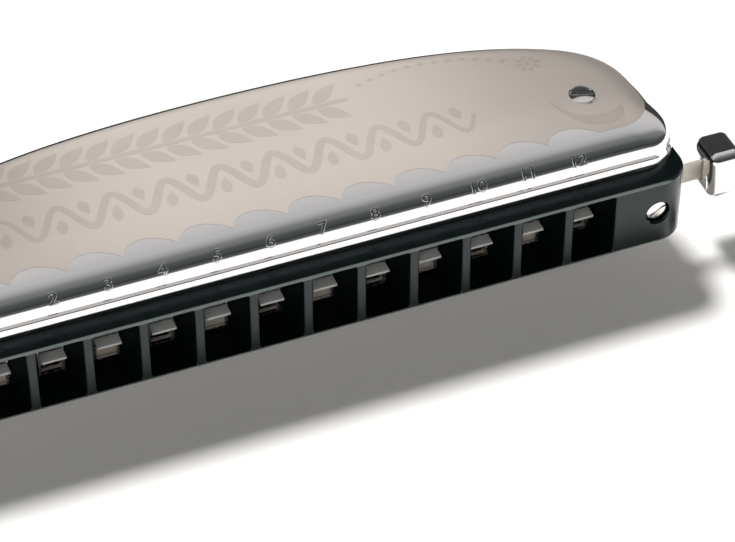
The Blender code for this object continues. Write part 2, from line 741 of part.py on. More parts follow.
def build_screws():
    up, down, to_lips = (0, 0, 0), (math.pi, 0, 0), (math.pi / 2, 0, 0)
    top = COVER_RIM_Z + FRONT_PROFILE[-1][1] * MM
    seat = top - SEAT_DEPTH + GAP - MID_Z
    plate_face = COMB_HEIGHT / 2 + PLATE_THICKNESS + 2 * GAP
    for place, side, turn in (("top", 1, up), ("bottom", -1, down)):
        for hand, x in (("left", -COVER_SCREW_X), ("right", COVER_SCREW_X)):
            where = (x, depth_y(COVER_SCREW_DEPTH), MID_Z + side * seat)
            length = seat - SCREW_FLOOR - SCREW_SPARE
            add_screw(f"cover_screw_{place}_{hand}", COVER_SCREW, length, where, turn)
        for number, x in enumerate(PLATE_SCREW_XS, 1):
            where = (x, depth_y(PLATE_SCREW_DEPTH), MID_Z + side * plate_face)
            length = plate_face - SCREW_FLOOR - SCREW_SPARE
            add_screw(f"plate_screw_{place}_{number}", PLATE_SCREW, length, where, turn)
    for hand, x in (("left", -MOUTH_SCREW_X), ("right", MOUTH_SCREW_X)):
        where = (x, depth_y(MOUTH_SCREW[1] + GAP), MID_Z)
        add_screw(f"mouthpiece_screw_{hand}", MOUTH_SCREW, MOUTH_SCREW_LENGTH, where, to_lips)


def main():
    build_mouthpiece()
    build_guides()
    build_slide()
    build_button()
    build_spring()
    build_comb()
    build_reed_plates()
    build_reeds()
    build_covers()
    build_screws()


clear_scene()
PARTS = collection("harmonica")
CUTTERS = collection("cutters")
main()
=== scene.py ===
"""The looks of a twelve-hole slide harmonica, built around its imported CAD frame.

Metres, +Z up, in the frame of the CAD: +X along the mouth holes to the slide button, -Y to the player's lips.
The lower half of the harmonica mirrors the upper half about MID_Z.
"""

from math import ceil, cos, floor, hypot, pi, radians, sin, tan

import bmesh
import bpy
from mathutils import Matrix, Vector
from mathutils.bvhtree import BVHTree


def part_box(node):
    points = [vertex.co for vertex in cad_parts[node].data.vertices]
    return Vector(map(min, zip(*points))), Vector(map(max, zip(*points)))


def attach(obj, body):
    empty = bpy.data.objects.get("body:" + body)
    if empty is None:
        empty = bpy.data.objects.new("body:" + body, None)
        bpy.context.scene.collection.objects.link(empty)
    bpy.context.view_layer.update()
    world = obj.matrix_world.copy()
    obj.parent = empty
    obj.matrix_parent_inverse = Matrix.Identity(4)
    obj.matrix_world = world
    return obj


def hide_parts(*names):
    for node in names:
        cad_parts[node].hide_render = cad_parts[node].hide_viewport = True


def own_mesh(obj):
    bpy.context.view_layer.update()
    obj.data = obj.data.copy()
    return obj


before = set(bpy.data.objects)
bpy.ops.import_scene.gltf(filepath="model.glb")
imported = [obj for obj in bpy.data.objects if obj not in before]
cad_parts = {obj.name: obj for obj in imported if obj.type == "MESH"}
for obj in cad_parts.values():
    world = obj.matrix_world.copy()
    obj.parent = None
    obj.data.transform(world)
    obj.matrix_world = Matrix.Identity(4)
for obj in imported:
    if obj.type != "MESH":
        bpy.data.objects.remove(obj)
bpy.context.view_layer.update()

MM = 0.001
BODY = "harmonica_body"
SLIDE_BODY = "slide"

# Places read from the frame.
MOUTH_LOW, MOUTH_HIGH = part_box("mouthpiece")
COVER_LOW, COVER_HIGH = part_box("top_cover")
PLATE_LOW, PLATE_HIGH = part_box("top_reed_plate")
SLIDE_LOW, SLIDE_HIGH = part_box("slide")
GUIDE_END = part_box("slide_guide_front")[1].x
BUTTON_LOW, BUTTON_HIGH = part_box("slide_button")
SPRING_LOW, SPRING_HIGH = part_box("return_spring")
LIP_Y = MOUTH_LOW.y
MID_Z = (MOUTH_LOW.z + MOUTH_HIGH.z) / 2
HALF_LENGTH = COVER_HIGH.x
BACK_Y = COVER_HIGH.y
TOP_Z = COVER_HIGH.z
RIM_Z = COVER_LOW.z
RIM_Y = COVER_LOW.y

# Sizes that the frame's boxes don't give.
HOLES = 12
PITCH = 9.2 * MM
GAP = 0.3 * MM
CORNER_RADIUS = 5.5 * MM
CLEAN_DISTANCE = 0.0005 * MM
SMOOTH_ANGLE = 35
HOLE_SIZE = (7.68 * MM, 11.9 * MM)
HOLE_BACK_WIDTH = 4.4 * MM
HOLE_RIM = 0.22 * MM
LIP_EDGE = 0.42 * MM
LIP_STEPS = 6
END_STEPS = 12
HOLE_CORNER = 0.5 * MM
CORNER_STEPS = 4
RIM_STEPS = 5
OVERCUT = 0.05 * MM
# How far past the holes and how far behind the lips the painted lip highlight reaches.
LIP_HIGHLIGHT_RISE = 0.2 * MM
LIP_HIGHLIGHT_DEPTHS = (0.1 * MM, 0.35 * MM)
CHANNEL_DEPTH = 6.3 * MM
CHANNEL_HEIGHT = 11.7 * MM
TANG_HEIGHT = 7.6 * MM
SPRING_POCKET = 3.5 * MM
SCREW_BORE_DEPTH = 12 * MM
SEAT_CHAMFER = 0.25 * MM

# Covers: the outline's bow and fullness at the back, and the profiles from the rim as (inset, rise) in mm.
COVER_BOW = 1.5
COVER_POWER = 4.05
COVER_SHEET = 0.5 * MM
FRONT_PROFILE = (
    (-0.1, -0.27), (0.42, 1.05), (0.47, 1.14), (0.5, 1.22),
    (0.75, 2.2), (1.0, 2.95), (1.45, 3.7), (2.4, 4.65),
    (4.5, 5.75), (7.7, 6.8), (11.0, 7.45), (14.5, 7.65),
)
END_PROFILE = (
    (0, -0.27), (0.06, 0.9), (0.08, 1.4), (0.12, 1.9),
    (0.3, 2.8), (0.7, 3.7), (1.4, 4.6), (2.6, 5.5),
    (4.6, 6.4), (8.0, 7.15), (12.0, 7.55), (15.0, 7.65),
)
BACK_PROFILE = (
    (0, -0.27), (0, 1.6), (0, 2.9), (0, 4.1),
    (0, 5.2), (0.1, 5.85), (0.4, 6.35), (0.9, 6.7),
    (1.6, 6.95), (2.8, 7.2), (5.0, 7.52), (8.0, 7.65),
)
PROFILE_STEPS = 3
BACK_POINTS = 96
CORNER_POINTS = 10
FRONT_POINTS = 24
SOUND_HALF_WIDTH = 50.0 * MM
SOUND_DEPTH = 36.0 * MM
SOUND_TOP = 5.2 * MM
SOUND_CORNER = 1.5 * MM

# Screws: head radius, head height and shank radius, then where they stand and how their heads are cut.
COVER_SCREW = (2.1 * MM, 0.62 * MM, 0.9 * MM)
MOUTH_SCREW = (1.8 * MM, 0.8 * MM, 0.8 * MM)
PLATE_SCREW = (1.3 * MM, 0.6 * MM, 0.6 * MM)
COVER_SCREW_PLACE = (55.9 * MM, 17.7 * MM)
SEAT_DEPTH = 0.8 * MM
SEAT_RADIUS = 2.25 * MM
SEAT_RIM = 0.12 * MM
CUP_WALL = 0.6 * COVER_SHEET
CUP_TOP = -0.95 * COVER_SHEET
CROWN = 0.16
CROWN_STEPS = 6
SLOT_DEPTH = 0.45 * MM
SLOT_SHARE = 0.2
SHANK_POINT = 0.4 * MM
HEAD_UNDERCUT = 0.05 * MM
HEAD_EDGE = 0.09 * MM
SEAT_CLEARANCE = 0.02 * MM
SCREW_TURNS = {"left": 34, "right": -18, "1": 12, "2": 71, "3": -40}
MOUTH_SCREW_TURN = 50

# The satin panel on the covers and its ornament. Heights are above the cover's surface.
PANEL_LIFT = 0.05 * MM
ORNAMENT_LIFT = 0.07 * MM
INLAY_SHEET = 0.06 * MM
PANEL_GRID = (1.0 * MM, 0.5 * MM)
ORNAMENT_GRID = (3 * MM, 0.7 * MM)
PANEL_FRONT = 11.4 * MM
SCALLOP_DEPTH = 2.0 * MM
SCALLOP_LEAN = 0.76
SCALLOP_POINTS = 12
PANEL_END = 3.3 * MM
PANEL_BACK = 1.9 * MM
PANEL_HOLE = 2.26 * MM

# Where the satin gives way to bright metal, and by how much: near the rim, and along the cover's length.
SATIN_RIM = (0.62, 0.92)
RIM_SHARE = 0.75
SATIN_ENDS = (16 * MM, 62 * MM)
END_SHARE = 0.48

# The branch: its middle line and ends, the step, lift, size and slope of its leaves, and its stem.
BRANCH_DEPTH = 31.0 * MM
BRANCH_ENDS = (-44.0 * MM, 17.0 * MM)
LEAF_STEP = 4.4 * MM
LEAF_LIFT = 0.75 * MM
LEAF_SIZE = (6.4 * MM, 2.7 * MM)
LEAF_SLOPE = radians(38)
STEM_BEFORE = 3 * MM
STEM_EXTRA = 5 * MM
STEM_WIDTH = 0.9 * MM
STEM_STEPS = 30

# The wave: its middle line and ends, its swing, width and taper, and the bud in each bend.
WAVE_DEPTH = 19.2 * MM
WAVE_ENDS = (-46.0 * MM, 37.0 * MM)
WAVE_SWING = 3.1 * MM
WAVE_WIDTH = 1.5 * MM
WAVE_TAPER = 0.3
WAVE_STEPS = 160
BLUNT_STEPS = 4
BUD_OFFSET = (0.6 * MM, 3.3 * MM)
BUD_SIZE = (3.6 * MM, 1.9 * MM)
BUD_SLOPE = radians(80)

# The arc of dots, and the flower where it ends.
ARC_CENTRE = (32.0 * MM, 17.5 * MM)
ARC_RADII = (22.5 * MM, 18.0 * MM)
ARC_START = 116
ARC_STEP = 6.2
ARC_DOTS = 12
DOT_SIZE = (1.5 * MM, 1.1 * MM)
FLOWER_PLACE = (50.8 * MM, 28.6 * MM)
PETALS = 8
PETAL_START = 0.9 * MM
PETAL_SIZE = (1.5 * MM, 0.8 * MM)
FLOWER_HEART = 0.55 * MM

# The leaf by the right-hand screw, as (x from the screw, depth, width) in mm.
CRESCENT = (
    (-6.1, 17.9, 0.12), (-4.6, 14.9, 0.7), (-2.7, 12.9, 1.2), (-0.5, 11.9, 1.7),
    (1.9, 11.6, 2.0), (3.8, 12.0, 2.0), (4.9, 12.9, 1.3), (5.2, 13.7, 0.2),
)

# Hole numbers: their size and widening, how far up the front profile they stand, and their relief.
NUMBER_SIZE = 2.75 * MM
NUMBER_WIDEN = 1.15
NUMBER_ARC = 3.45
NUMBER_SPREAD = 0.981
NUMBER_SHIFT = 0.48 * MM
NUMBER_THINNING = -0.02 * MM
NUMBER_RELIEF = 0.08 * MM
NUMBER_ROUND = 0.16 * MM

# The bent tongues of the front guide: where each starts and ends, how wide it is and how it slopes.
TONGUE_TIP = 4.45 * MM
TONGUE_ROOT = 6.5 * MM
TONGUE_WIDTH = 4.1 * MM
TONGUE_THICKNESS = 0.46 * MM
TONGUE_HINGE = (6.85 * MM, -0.75 * MM)
TONGUE_DROP = radians(6)
TONGUE_EDGE = 0.06 * MM

# CAD nodes that stay shown: the angle up to which they are shaded smooth, and their broken edges.
SHARP_ANGLE = radians(30)
WELD_DISTANCE = 0.001 * MM
SHEET_EDGE = 0.06 * MM
COMB_EDGE = 0.12 * MM

# Button and return spring.
BUTTON_EDGE = 1.7 * MM
NECK_HALF_HEIGHT = 1.9 * MM
SPRING_TURNS = 6
SPRING_STEPS = 24
SPRING_WIRE = 0.2 * MM

# Reeds, with the half widths of a reed at its pad, root and tip, and the strips of film over their slots.
SLOT_FRONT = 12.4 * MM
LONGEST_REED = 18.5 * MM
SHORTEST_REED = 10.5 * MM
REED_OFFSET = 1.9 * MM
REED_THICKNESS = 0.22 * MM
REED_HALF_WIDTHS = (1.4 * MM, 0.9 * MM, 0.75 * MM)
PAD_LENGTH = 2.4 * MM
REED_SEAM = 0.05 * MM
RIVET_SETBACK = 1.2 * MM
RIVET = ((0, -0.5 * MM), (0.55 * MM, -0.5 * MM), (0.55 * MM, 0.05 * MM), (0.4 * MM, 0.2 * MM), (0, 0.26 * MM))
VALVE_START = 2.0 * MM
VALVE_EXTRA = 1.4 * MM
VALVE_HALF_WIDTH = 1.35 * MM
VALVE_FILM = 0.07 * MM
VALVE_LIFT = 0.03 * MM
VALVE_CURL = 0.35 * MM
VALVE_STEPS = 8

# Camera: where it stands, and the way it looks.
CAMERA_AT = (-115.06 * MM, -336.79 * MM, 321.6 * MM)
CAMERA_ELEVATION = radians(42.0)
CAMERA_AZIMUTH = radians(-21.88)
CAMERA_LENS = 137.85
SENSOR_WIDTH = 36.0
CLIPS = (0.01, 20.0)

# Suns: strength, width in degrees, colour, lean along x, and angle in degrees from the horizon behind.
SUNS = {
    "key": (4.6, 15, (1.0, 0.985, 0.96), -0.12, 59),
    "fill": (0.75, 40, (1.0, 0.97, 0.93), -0.25, 147),
}
FLOOR_SIZE = 6.0
BACKDROP = (0.9, 0.9, 0.9)
AMBIENT = (0.13, 0.13, 0.127)

# Sky colours by angle from the zenith, in degrees: negative on the player's side, positive behind.
SKY = (
    (-110, (1.3, 1.3, 1.3)),
    (-91, (1.3, 1.3, 1.3)),
    (-83, (0.1, 0.105, 0.108)),
    (-66, (0.042, 0.046, 0.047)),
    (-54, (0.066, 0.075, 0.073)),
    (-24, (0.18, 0.185, 0.19)),
    (0, (0.50, 0.495, 0.50)),
    (12, (0.57, 0.555, 0.56)),
    (23, (0.58, 0.565, 0.565)),
    (34, (0.52, 0.505, 0.50)),
    (38, (0.04, 0.04, 0.04)),
    (60, (0.05, 0.055, 0.06)),
    (114, (0.05, 0.055, 0.06)),
    (122, (0.9, 0.9, 0.9)),
)


# Mesh helpers.


def depth_y(depth):
    """The y of a place this far behind the lips."""
    return LIP_Y + depth


def hole_x(number):
    """The middle of a mouth hole, counted from 1 at the left."""
    return (number - (HOLES + 1) / 2) * PITCH


def reed_length(number):
    return LONGEST_REED + (number - 1) / (HOLES - 1) * (SHORTEST_REED - LONGEST_REED)


def mesh_from(bm, name, outward=True):
    if outward:
        bmesh.ops.recalc_face_normals(bm, faces=bm.faces)
    mesh = bpy.data.meshes.new(name)
    bm.to_mesh(mesh)
    bm.free()
    return mesh


def bmesh_of(mesh):
    bm = bmesh.new()
    bm.from_mesh(mesh)
    return bm


def add_object(name, data):
    """Links a new object with this data into the scene."""
    obj = bpy.data.objects.new(name, data)
    bpy.context.scene.collection.objects.link(obj)
    return obj


def evaluated(obj):
    """The object's mesh with its modifiers applied. The object is removed."""
    bpy.context.view_layer.update()
    shape = obj.evaluated_get(bpy.context.evaluated_depsgraph_get())
    mesh = bpy.data.meshes.new_from_object(shape)
    bpy.data.objects.remove(obj, do_unlink=True)
    return mesh


def configured(target, **settings):
    """Sets these attributes, and returns what they were set on."""
    for key, value in settings.items():
        setattr(target, key, value)
    return target


def add_modifier(obj, kind, **settings):
    configured(obj.modifiers.new(kind, kind), **settings)


def modified(mesh, kind, **settings):
    """The mesh after one modifier."""
    holder = add_object("holder", mesh)
    add_modifier(holder, kind, **settings)
    return evaluated(holder)


def combined(mesh, tool, operation="DIFFERENCE"):
    """The mesh after a Boolean with a tool mesh."""
    other = add_object("tool", tool)
    made = modified(mesh, "BOOLEAN", object=other, operation=operation)
    bpy.data.objects.remove(other, do_unlink=True)
    return made


def curve_mesh(curve):
    """The mesh that a curve or a text makes. The curve is removed."""
    mesh = evaluated(add_object("holder", curve))
    bpy.data.curves.remove(curve)
    return mesh


def add_line(curve, points):
    """Adds a line with straight sides through these (x, y, z) points to a curve."""
    spline = curve.splines.new("POLY")
    spline.points.add(len(points) - 1)
    for point, place in zip(spline.points, points):
        point.co = (*place, 1.0)
    return spline


def cleaned(mesh, name, outward=True):
    """A filled curve's mesh with its doubled points joined."""
    bm = bmesh_of(mesh)
    bmesh.ops.remove_doubles(bm, verts=bm.verts, dist=CLEAN_DISTANCE)
    return mesh_from(bm, name, outward)


def mirrored(mesh, name):
    """A copy of an upper mesh for the lower half."""
    bm = bmesh_of(mesh)
    for vert in bm.verts:
        vert.co.z = 2 * MID_Z - vert.co.z
    bmesh.ops.reverse_faces(bm, faces=bm.faces)
    return mesh_from(bm, name, outward=False)


def piece(name, mesh, look, body=BODY, stands_for=(), angle=SMOOTH_ANGLE, flat_faces=False):
    """Makes a shown piece of the harmonica that rides on a body."""
    mesh.shade_smooth()
    mesh.set_sharp_from_angle(angle=radians(angle))
    obj = add_object(name, mesh)
    obj.data.materials.clear()
    obj.data.materials.append(LOOKS[look])
    if flat_faces:
        add_modifier(obj, "WEIGHTED_NORMAL", weight=100, keep_sharp=True)
    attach(obj, body)
    if stands_for:
        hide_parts(*stands_for)
    return obj


def add_box(bm, low, high):
    """Adds a box between two corners to a bmesh, and returns its vertices."""
    made = bmesh.ops.create_cube(bm, size=1.0)["verts"]
    for vert in made:
        for i in range(3):
            vert.co[i] = low[i] if vert.co[i] < 0 else high[i]
    return made


def box_mesh(low, high):
    bm = bmesh.new()
    add_box(bm, low, high)
    return mesh_from(bm, "box")


def lofted(rings):
    """A closed tube through rings of points, of one length each, with end caps."""
    bm = bmesh.new()
    add_loft(bm, rings)
    return mesh_from(bm, "loft")


def add_loft(bm, rings):
    made = [[bm.verts.new(point) for point in ring] for ring in rings]
    for near, far in zip(made, made[1:]):
        for i in range(len(near)):
            j = (i + 1) % len(near)
            bm.faces.new((near[i], near[j], far[j], far[i]))
    bm.faces.new(made[0])
    bm.faces.new(made[-1])


def add_turned(bm, profile, place, axis="Z", steps=32):
    """Adds a solid of revolution: profile lists (radius, height) from the axis round to the axis."""
    centre = Vector(place)
    rings = []
    for radius, height in profile:
        ring = []
        for i in range(steps if radius > 0 else 1):
            angle = 2 * pi * i / steps
            point = Vector((radius * cos(angle), radius * sin(angle), height))
            if axis == "-Y":
                point = Vector((point.x, -point.z, point.y))
            elif axis == "-Z":
                point = Vector((point.x, -point.y, -point.z))
            ring.append(bm.verts.new(centre + point))
        rings.append(ring)
    for near, far in zip(rings, rings[1:]):
        for i in range(steps):
            j = (i + 1) % steps
            corners = [near[i % len(near)], near[j % len(near)], far[j % len(far)], far[i % len(far)]]
            bm.faces.new(dict.fromkeys(corners))


def turned_mesh(profile, place, axis="Z", steps=32):
    bm = bmesh.new()
    add_turned(bm, profile, place, axis, steps)
    return mesh_from(bm, "turned")


def rod(radius, low, high):
    """The profile of a plain cylinder for add_turned."""
    return ((0, low), (radius, low), (radius, high), (0, high))


def middle_of(low, high):
    return tuple((a + b) / 2 for a, b in zip(low, high))


def filled_mesh(outlines, thickness=0.0):
    """Flat closed outlines in the XY plane as a mesh at z 0, where an outline inside another is a hole."""
    curve = bpy.data.curves.new("outline", "CURVE")
    configured(curve, dimensions="2D", fill_mode="BOTH", extrude=thickness / 2)
    for points in outlines:
        add_line(curve, [(x, y, 0.0) for x, y in points]).use_cyclic_u = True
    return cleaned(curve_mesh(curve), "filled", outward=thickness > 0)


def smooth_line(points, steps):
    """Points on a Catmull-Rom curve through the given (a, b) pairs."""
    padded = [points[0], *points, points[-1]]
    line = []
    for i in range(len(points) - 1):
        before, start, end, after = (Vector(p) for p in padded[i : i + 4])
        for k in range(steps):
            t = k / steps
            bend = 2 * before - 5 * start + 4 * end - after
            twist = 3 * start - before - 3 * end + after
            line.append(0.5 * (2 * start + (end - before) * t + bend * t * t + twist * t**3))
    return [*line, Vector(points[-1])]


# Materials.


class Graph:
    """Adds nodes to a node tree. An input takes a plain value or another node's socket."""

    def __init__(self, tree):
        self.nodes, self.links = tree.nodes, tree.links

    def feed(self, socket, value):
        if isinstance(value, bpy.types.NodeSocket):
            self.links.new(value, socket)
        else:
            socket.default_value = value

    def node(self, kind, inputs=(), **settings):
        made = configured(self.nodes.new(kind), **settings)
        for key, value in dict(inputs).items():
            self.feed(made.inputs[key], value)
        return made

    def maths(self, operation, *values):
        return self.node("ShaderNodeMath", enumerate(values), operation=operation).outputs["Value"]

    def spread(self, value, start, end, low=0.0, high=1.0, kind="LINEAR"):
        """Goes from low to high as the value goes from start to end."""
        inputs = {"Value": value, "From Min": start, "From Max": end, "To Min": low, "To Max": high}
        return self.node("ShaderNodeMapRange", inputs, interpolation_type=kind).outputs["Result"]

    def eased(self, value, start, end):
        return self.spread(value, start, end, kind="SMOOTHSTEP")

    def split(self, vector):
        """The x, y and z of a vector."""
        return self.node("ShaderNodeSeparateXYZ", {"Vector": vector}).outputs


class Look(Graph):
    """A procedural Principled material, built up one effect at a time. A grain counts features per metre."""

    def __init__(self, name, colour, roughness, metallic=0.0):
        self.name = name
        self.material = bpy.data.materials.new(name)
        self.material.use_nodes = True
        super().__init__(self.material.node_tree)
        self.shader = self.nodes["Principled BSDF"]
        self.place = self.node("ShaderNodeTexCoord").outputs["Object"]
        self.colour = colour
        self.roughness = roughness
        self.normal = None
        self.set("Base Color", (*colour, 1.0)).set("Roughness", roughness).set("Metallic", metallic)

    def set(self, key, value):
        self.feed(self.shader.inputs[key], value)
        return self

    def noise(self, grain, low, high):
        """Noise with its middle half spread over low to high."""
        return self.spread(self.raw_noise(grain, 3.0), 0.3, 0.7, low, high)

    def raw_noise(self, grain, detail):
        scale = grain if isinstance(grain, tuple) else (grain,) * 3
        mapping = self.node("ShaderNodeMapping", {"Vector": self.place, "Scale": scale})
        inputs = {"Vector": mapping.outputs["Vector"], "Scale": 1.0, "Detail": detail}
        return self.node("ShaderNodeTexNoise", inputs).outputs["Fac"]

    def mixed(self, share, first, second):
        inputs = {"Factor": share, "A": first, "B": second}
        return self.node("ShaderNodeMix", inputs, data_type="RGBA").outputs["Result"]

    def mottled(self, grain, share):
        """Lets the colour vary by this share either way."""
        dark = (*(c * (1 - share) for c in self.colour), 1.0)
        light = (*(min(1.0, c * (1 + share)) for c in self.colour), 1.0)
        return self.set("Base Color", self.mixed(self.noise(grain, 0.0, 1.0), dark, light))

    def worn(self, grain, share):
        """Lets the roughness vary by this share either way."""
        low, high = self.roughness * (1 - share), self.roughness * (1 + share)
        return self.set("Roughness", self.noise(grain, low, high))

    def bumped(self, grain, height):
        """Adds relief of this height in mm."""
        inputs = {"Strength": 1.0, "Distance": height * MM, "Height": self.raw_noise(grain, 2.0)}
        return self.set("Normal", self.node("ShaderNodeBump", inputs).outputs["Normal"])

    def bright_towards_rim(self):
        """Lets the satin give way to bright metal near the cover's rim, and most of all at its ends."""
        x, y, _ = self.split(self.place)
        side = self.maths("ABSOLUTE", x)
        bow = self.maths("MULTIPLY", self.maths("MULTIPLY", side, side), COVER_BOW)
        reach = self.maths("SUBTRACT", BACK_Y - RIM_Y - CORNER_RADIUS, bow)
        rise = self.maths("MAXIMUM", self.maths("SUBTRACT", y, RIM_Y + CORNER_RADIUS), 0.0)
        across = self.maths("POWER", self.maths("DIVIDE", rise, reach), COVER_POWER)
        along = self.maths("POWER", self.maths("DIVIDE", side, HALF_LENGTH), COVER_POWER)
        rim = self.eased(self.maths("ADD", across, along), *SATIN_RIM)
        ends = self.eased(side, *SATIN_ENDS)
        rim_satin = self.maths("SUBTRACT", 1.0, self.maths("MULTIPLY", rim, RIM_SHARE))
        end_satin = self.maths("SUBTRACT", 1.0, self.maths("MULTIPLY", ends, END_SHARE))
        bright = self.maths("SUBTRACT", 1.0, self.maths("MULTIPLY", rim_satin, end_satin))
        low = self.shader.inputs["Metallic"].default_value
        return self.set("Metallic", self.maths("ADD", self.maths("MULTIPLY", bright, 1.0 - low), low))

    def inside_holes(self, roughness, specular):
        """Makes the moulded inside of the mouth holes duller than the polished outside."""
        x, y, z = self.split(self.place)
        behind = self.maths("GREATER_THAN", y, LIP_Y + HOLE_RIM)
        height = self.maths("ABSOLUTE", self.maths("SUBTRACT", z, MID_Z))
        within = self.maths("LESS_THAN", height, HOLE_SIZE[1] / 2 + 0.02 * MM)
        side = self.maths("LESS_THAN", self.maths("ABSOLUTE", x), GUIDE_END)
        share = self.maths("MULTIPLY", self.maths("MULTIPLY", behind, within), side)
        outside = self.noise(220, 0.7 * self.roughness, 1.3 * self.roughness)
        self.set("Roughness", self.maths("MAXIMUM", outside, self.maths("MULTIPLY", share, roughness)))
        level = self.maths("SUBTRACT", 0.5, self.maths("MULTIPLY", share, 0.5 - specular))
        return self.set("Specular IOR Level", level)

    def pale_lips(self, colour):
        """Paints a highlight on the narrow strips above and below the mouth holes, at the front: a paler
        colour that stands in for the bright line along the lips.
        """
        _, y, z = self.split(self.place)
        height = self.maths("ABSOLUTE", self.maths("SUBTRACT", z, MID_Z))
        above = self.eased(height, HOLE_SIZE[1] / 2, HOLE_SIZE[1] / 2 + LIP_HIGHLIGHT_RISE)
        behind = self.eased(y, LIP_Y + LIP_HIGHLIGHT_DEPTHS[0], LIP_Y + LIP_HIGHLIGHT_DEPTHS[1])
        share = self.maths("MULTIPLY", above, self.maths("SUBTRACT", 1.0, behind))
        old = self.shader.inputs["Base Color"].links[0].from_socket
        return self.set("Base Color", self.mixed(share, old, (*colour, 1.0)))


def black(name, roughness):
    """Glossy black plastic with a faintly green sheen."""
    look = Look(name, (0.0018, 0.0032, 0.0034), roughness)
    return look.set("Specular Tint", (0.86, 1.0, 1.02, 1.0)).mottled(300, 0.2)


def make_looks():
    """Every material of the harmonica, by name."""
    looks = (
        Look("polished_steel", (0.93, 0.92, 0.91), 0.07, 1.0).worn(250, 0.35).bumped(90, 0.002),
        Look("satin_steel", (0.60, 0.546, 0.505), 0.46, 0.30).mottled(60, 0.015).bright_towards_rim()
        .worn((900, 200, 200), 0.08).bumped((9000, 500, 500), 0.0004),
        Look("etched_steel", (0.545, 0.489, 0.457), 0.42, 0.33).mottled(400, 0.02).bright_towards_rim()
        .worn((900, 300, 300), 0.10).bumped((6000, 600, 600), 0.0004),
        Look("struck_steel", (0.62, 0.62, 0.61), 0.20, 1.0).worn(900, 0.3).bumped(2500, 0.004),
        black("black_plastic", 0.16).bumped(160, 0.0008),
        # The mouthpiece's front strips get a painted highlight: a paler colour along the lips.
        black("mouthpiece_plastic", 0.17)
        .pale_lips((0.18, 0.21, 0.205)).inside_holes(0.55, 0.08).bumped(160, 0.0008),
        Look("slide_nickel", (0.66, 0.605, 0.535), 0.42, 0.45)
        .mottled(500, 0.04).worn((1500, 400, 400), 0.2).bumped((4000, 700, 700), 0.0006),
        Look("nickel_plate", (0.66, 0.65, 0.62), 0.28, 1.0)
        .mottled(500, 0.03).worn((1500, 400, 400), 0.2).bumped((4000, 700, 700), 0.0006),
        Look("screw_nickel", (0.93, 0.92, 0.90), 0.09, 1.0)
        .mottled(900, 0.03).worn(1200, 0.4).bumped(1500, 0.004),
        Look("rolled_brass", (0.80, 0.58, 0.27), 0.26, 1.0)
        .mottled(240, 0.05).worn((200, 2200, 200), 0.25).bumped((500, 6000, 500), 0.0008),
        Look("reed_brass", (0.86, 0.66, 0.34), 0.22, 1.0)
        .mottled((800, 300, 300), 0.04).worn((3000, 300, 300), 0.25).bumped((9000, 400, 400), 0.0008),
        Look("spring_wire", (0.50, 0.50, 0.51), 0.25, 1.0).mottled(900, 0.05).worn(900, 0.3),
        Look("dull_nickel", (0.58, 0.595, 0.59), 0.6, 0.1)
        .mottled(900, 0.04).worn(1500, 0.2).bumped(3000, 0.001),
        Look("valve_film", (0.78, 0.78, 0.74), 0.42).mottled(600, 0.04).worn(600, 0.2).bumped(900, 0.002),
    )
    return {look.name: look.material for look in looks}


LOOKS = make_looks()


# Covers.


def outline(half_length, front, back):
    """The cover's outline seen from above, with each point's share of end, front and back."""
    points = []
    for i in range(BACK_POINTS + 1):
        angle = pi * i / BACK_POINTS
        across, up = cos(angle), sin(angle)
        radius = (abs(across) ** COVER_POWER + up**COVER_POWER) ** (-1 / COVER_POWER)
        x = half_length * radius * across
        reach = back - front - CORNER_RADIUS - COVER_BOW * x * x
        rise = radius * up
        slope_x = (abs(x) / half_length) ** (COVER_POWER - 1) / half_length
        slope_y = rise ** (COVER_POWER - 1) / reach
        end_share = slope_x**2 / (slope_x**2 + slope_y**2)
        points.append((x, front + CORNER_RADIUS + reach * rise, (end_share, 0.0, 1.0 - end_share)))
    straight = half_length - CORNER_RADIUS
    for side in (-1, 1):
        arc = []
        for i in range(1, CORNER_POINTS + 1):
            angle = 0.5 * pi * i / CORNER_POINTS
            x = side * (straight + CORNER_RADIUS * cos(angle))
            y = front + CORNER_RADIUS * (1 - sin(angle))
            arc.append((x, y, (cos(angle) ** 2, sin(angle) ** 2, 0.0)))
        points += arc if side < 0 else arc[::-1]
        if side < 0:
            for i in range(1, FRONT_POINTS):
                points.append((straight * (2 * i / FRONT_POINTS - 1), front, (0.0, 1.0, 0.0)))
    return points


def seat_tools(x):
    """A cover screw's seat: the cup that it adds below the sheet, then the dish and the bore that it cuts."""
    place = (x, depth_y(COVER_SCREW_PLACE[1]), TOP_Z)
    low = -SEAT_DEPTH - COVER_SHEET
    cup = rod(SEAT_RADIUS + CUP_WALL, low, CUP_TOP)
    dish = (
        (0, -SEAT_DEPTH),
        (SEAT_RADIUS - SEAT_RIM, -SEAT_DEPTH),
        (SEAT_RADIUS - 0.5 * SEAT_RIM, -SEAT_DEPTH + SEAT_RIM),
        (SEAT_RADIUS, -SEAT_RIM),
        (SEAT_RADIUS + 0.5 * SEAT_RIM, -0.5 * SEAT_RIM),
        (SEAT_RADIUS + SEAT_RIM, 0.01 * MM),
        (SEAT_RADIUS + SEAT_RIM, SEAT_RIM),
        (0, SEAT_RIM),
    )
    bore = rod(COVER_SCREW[2] + GAP, 2 * low, 0)
    return (
        (turned_mesh(cup, place), "UNION"),
        (turned_mesh(dish, place, steps=48), "DIFFERENCE"),
        (turned_mesh(bore, place), "DIFFERENCE"),
    )


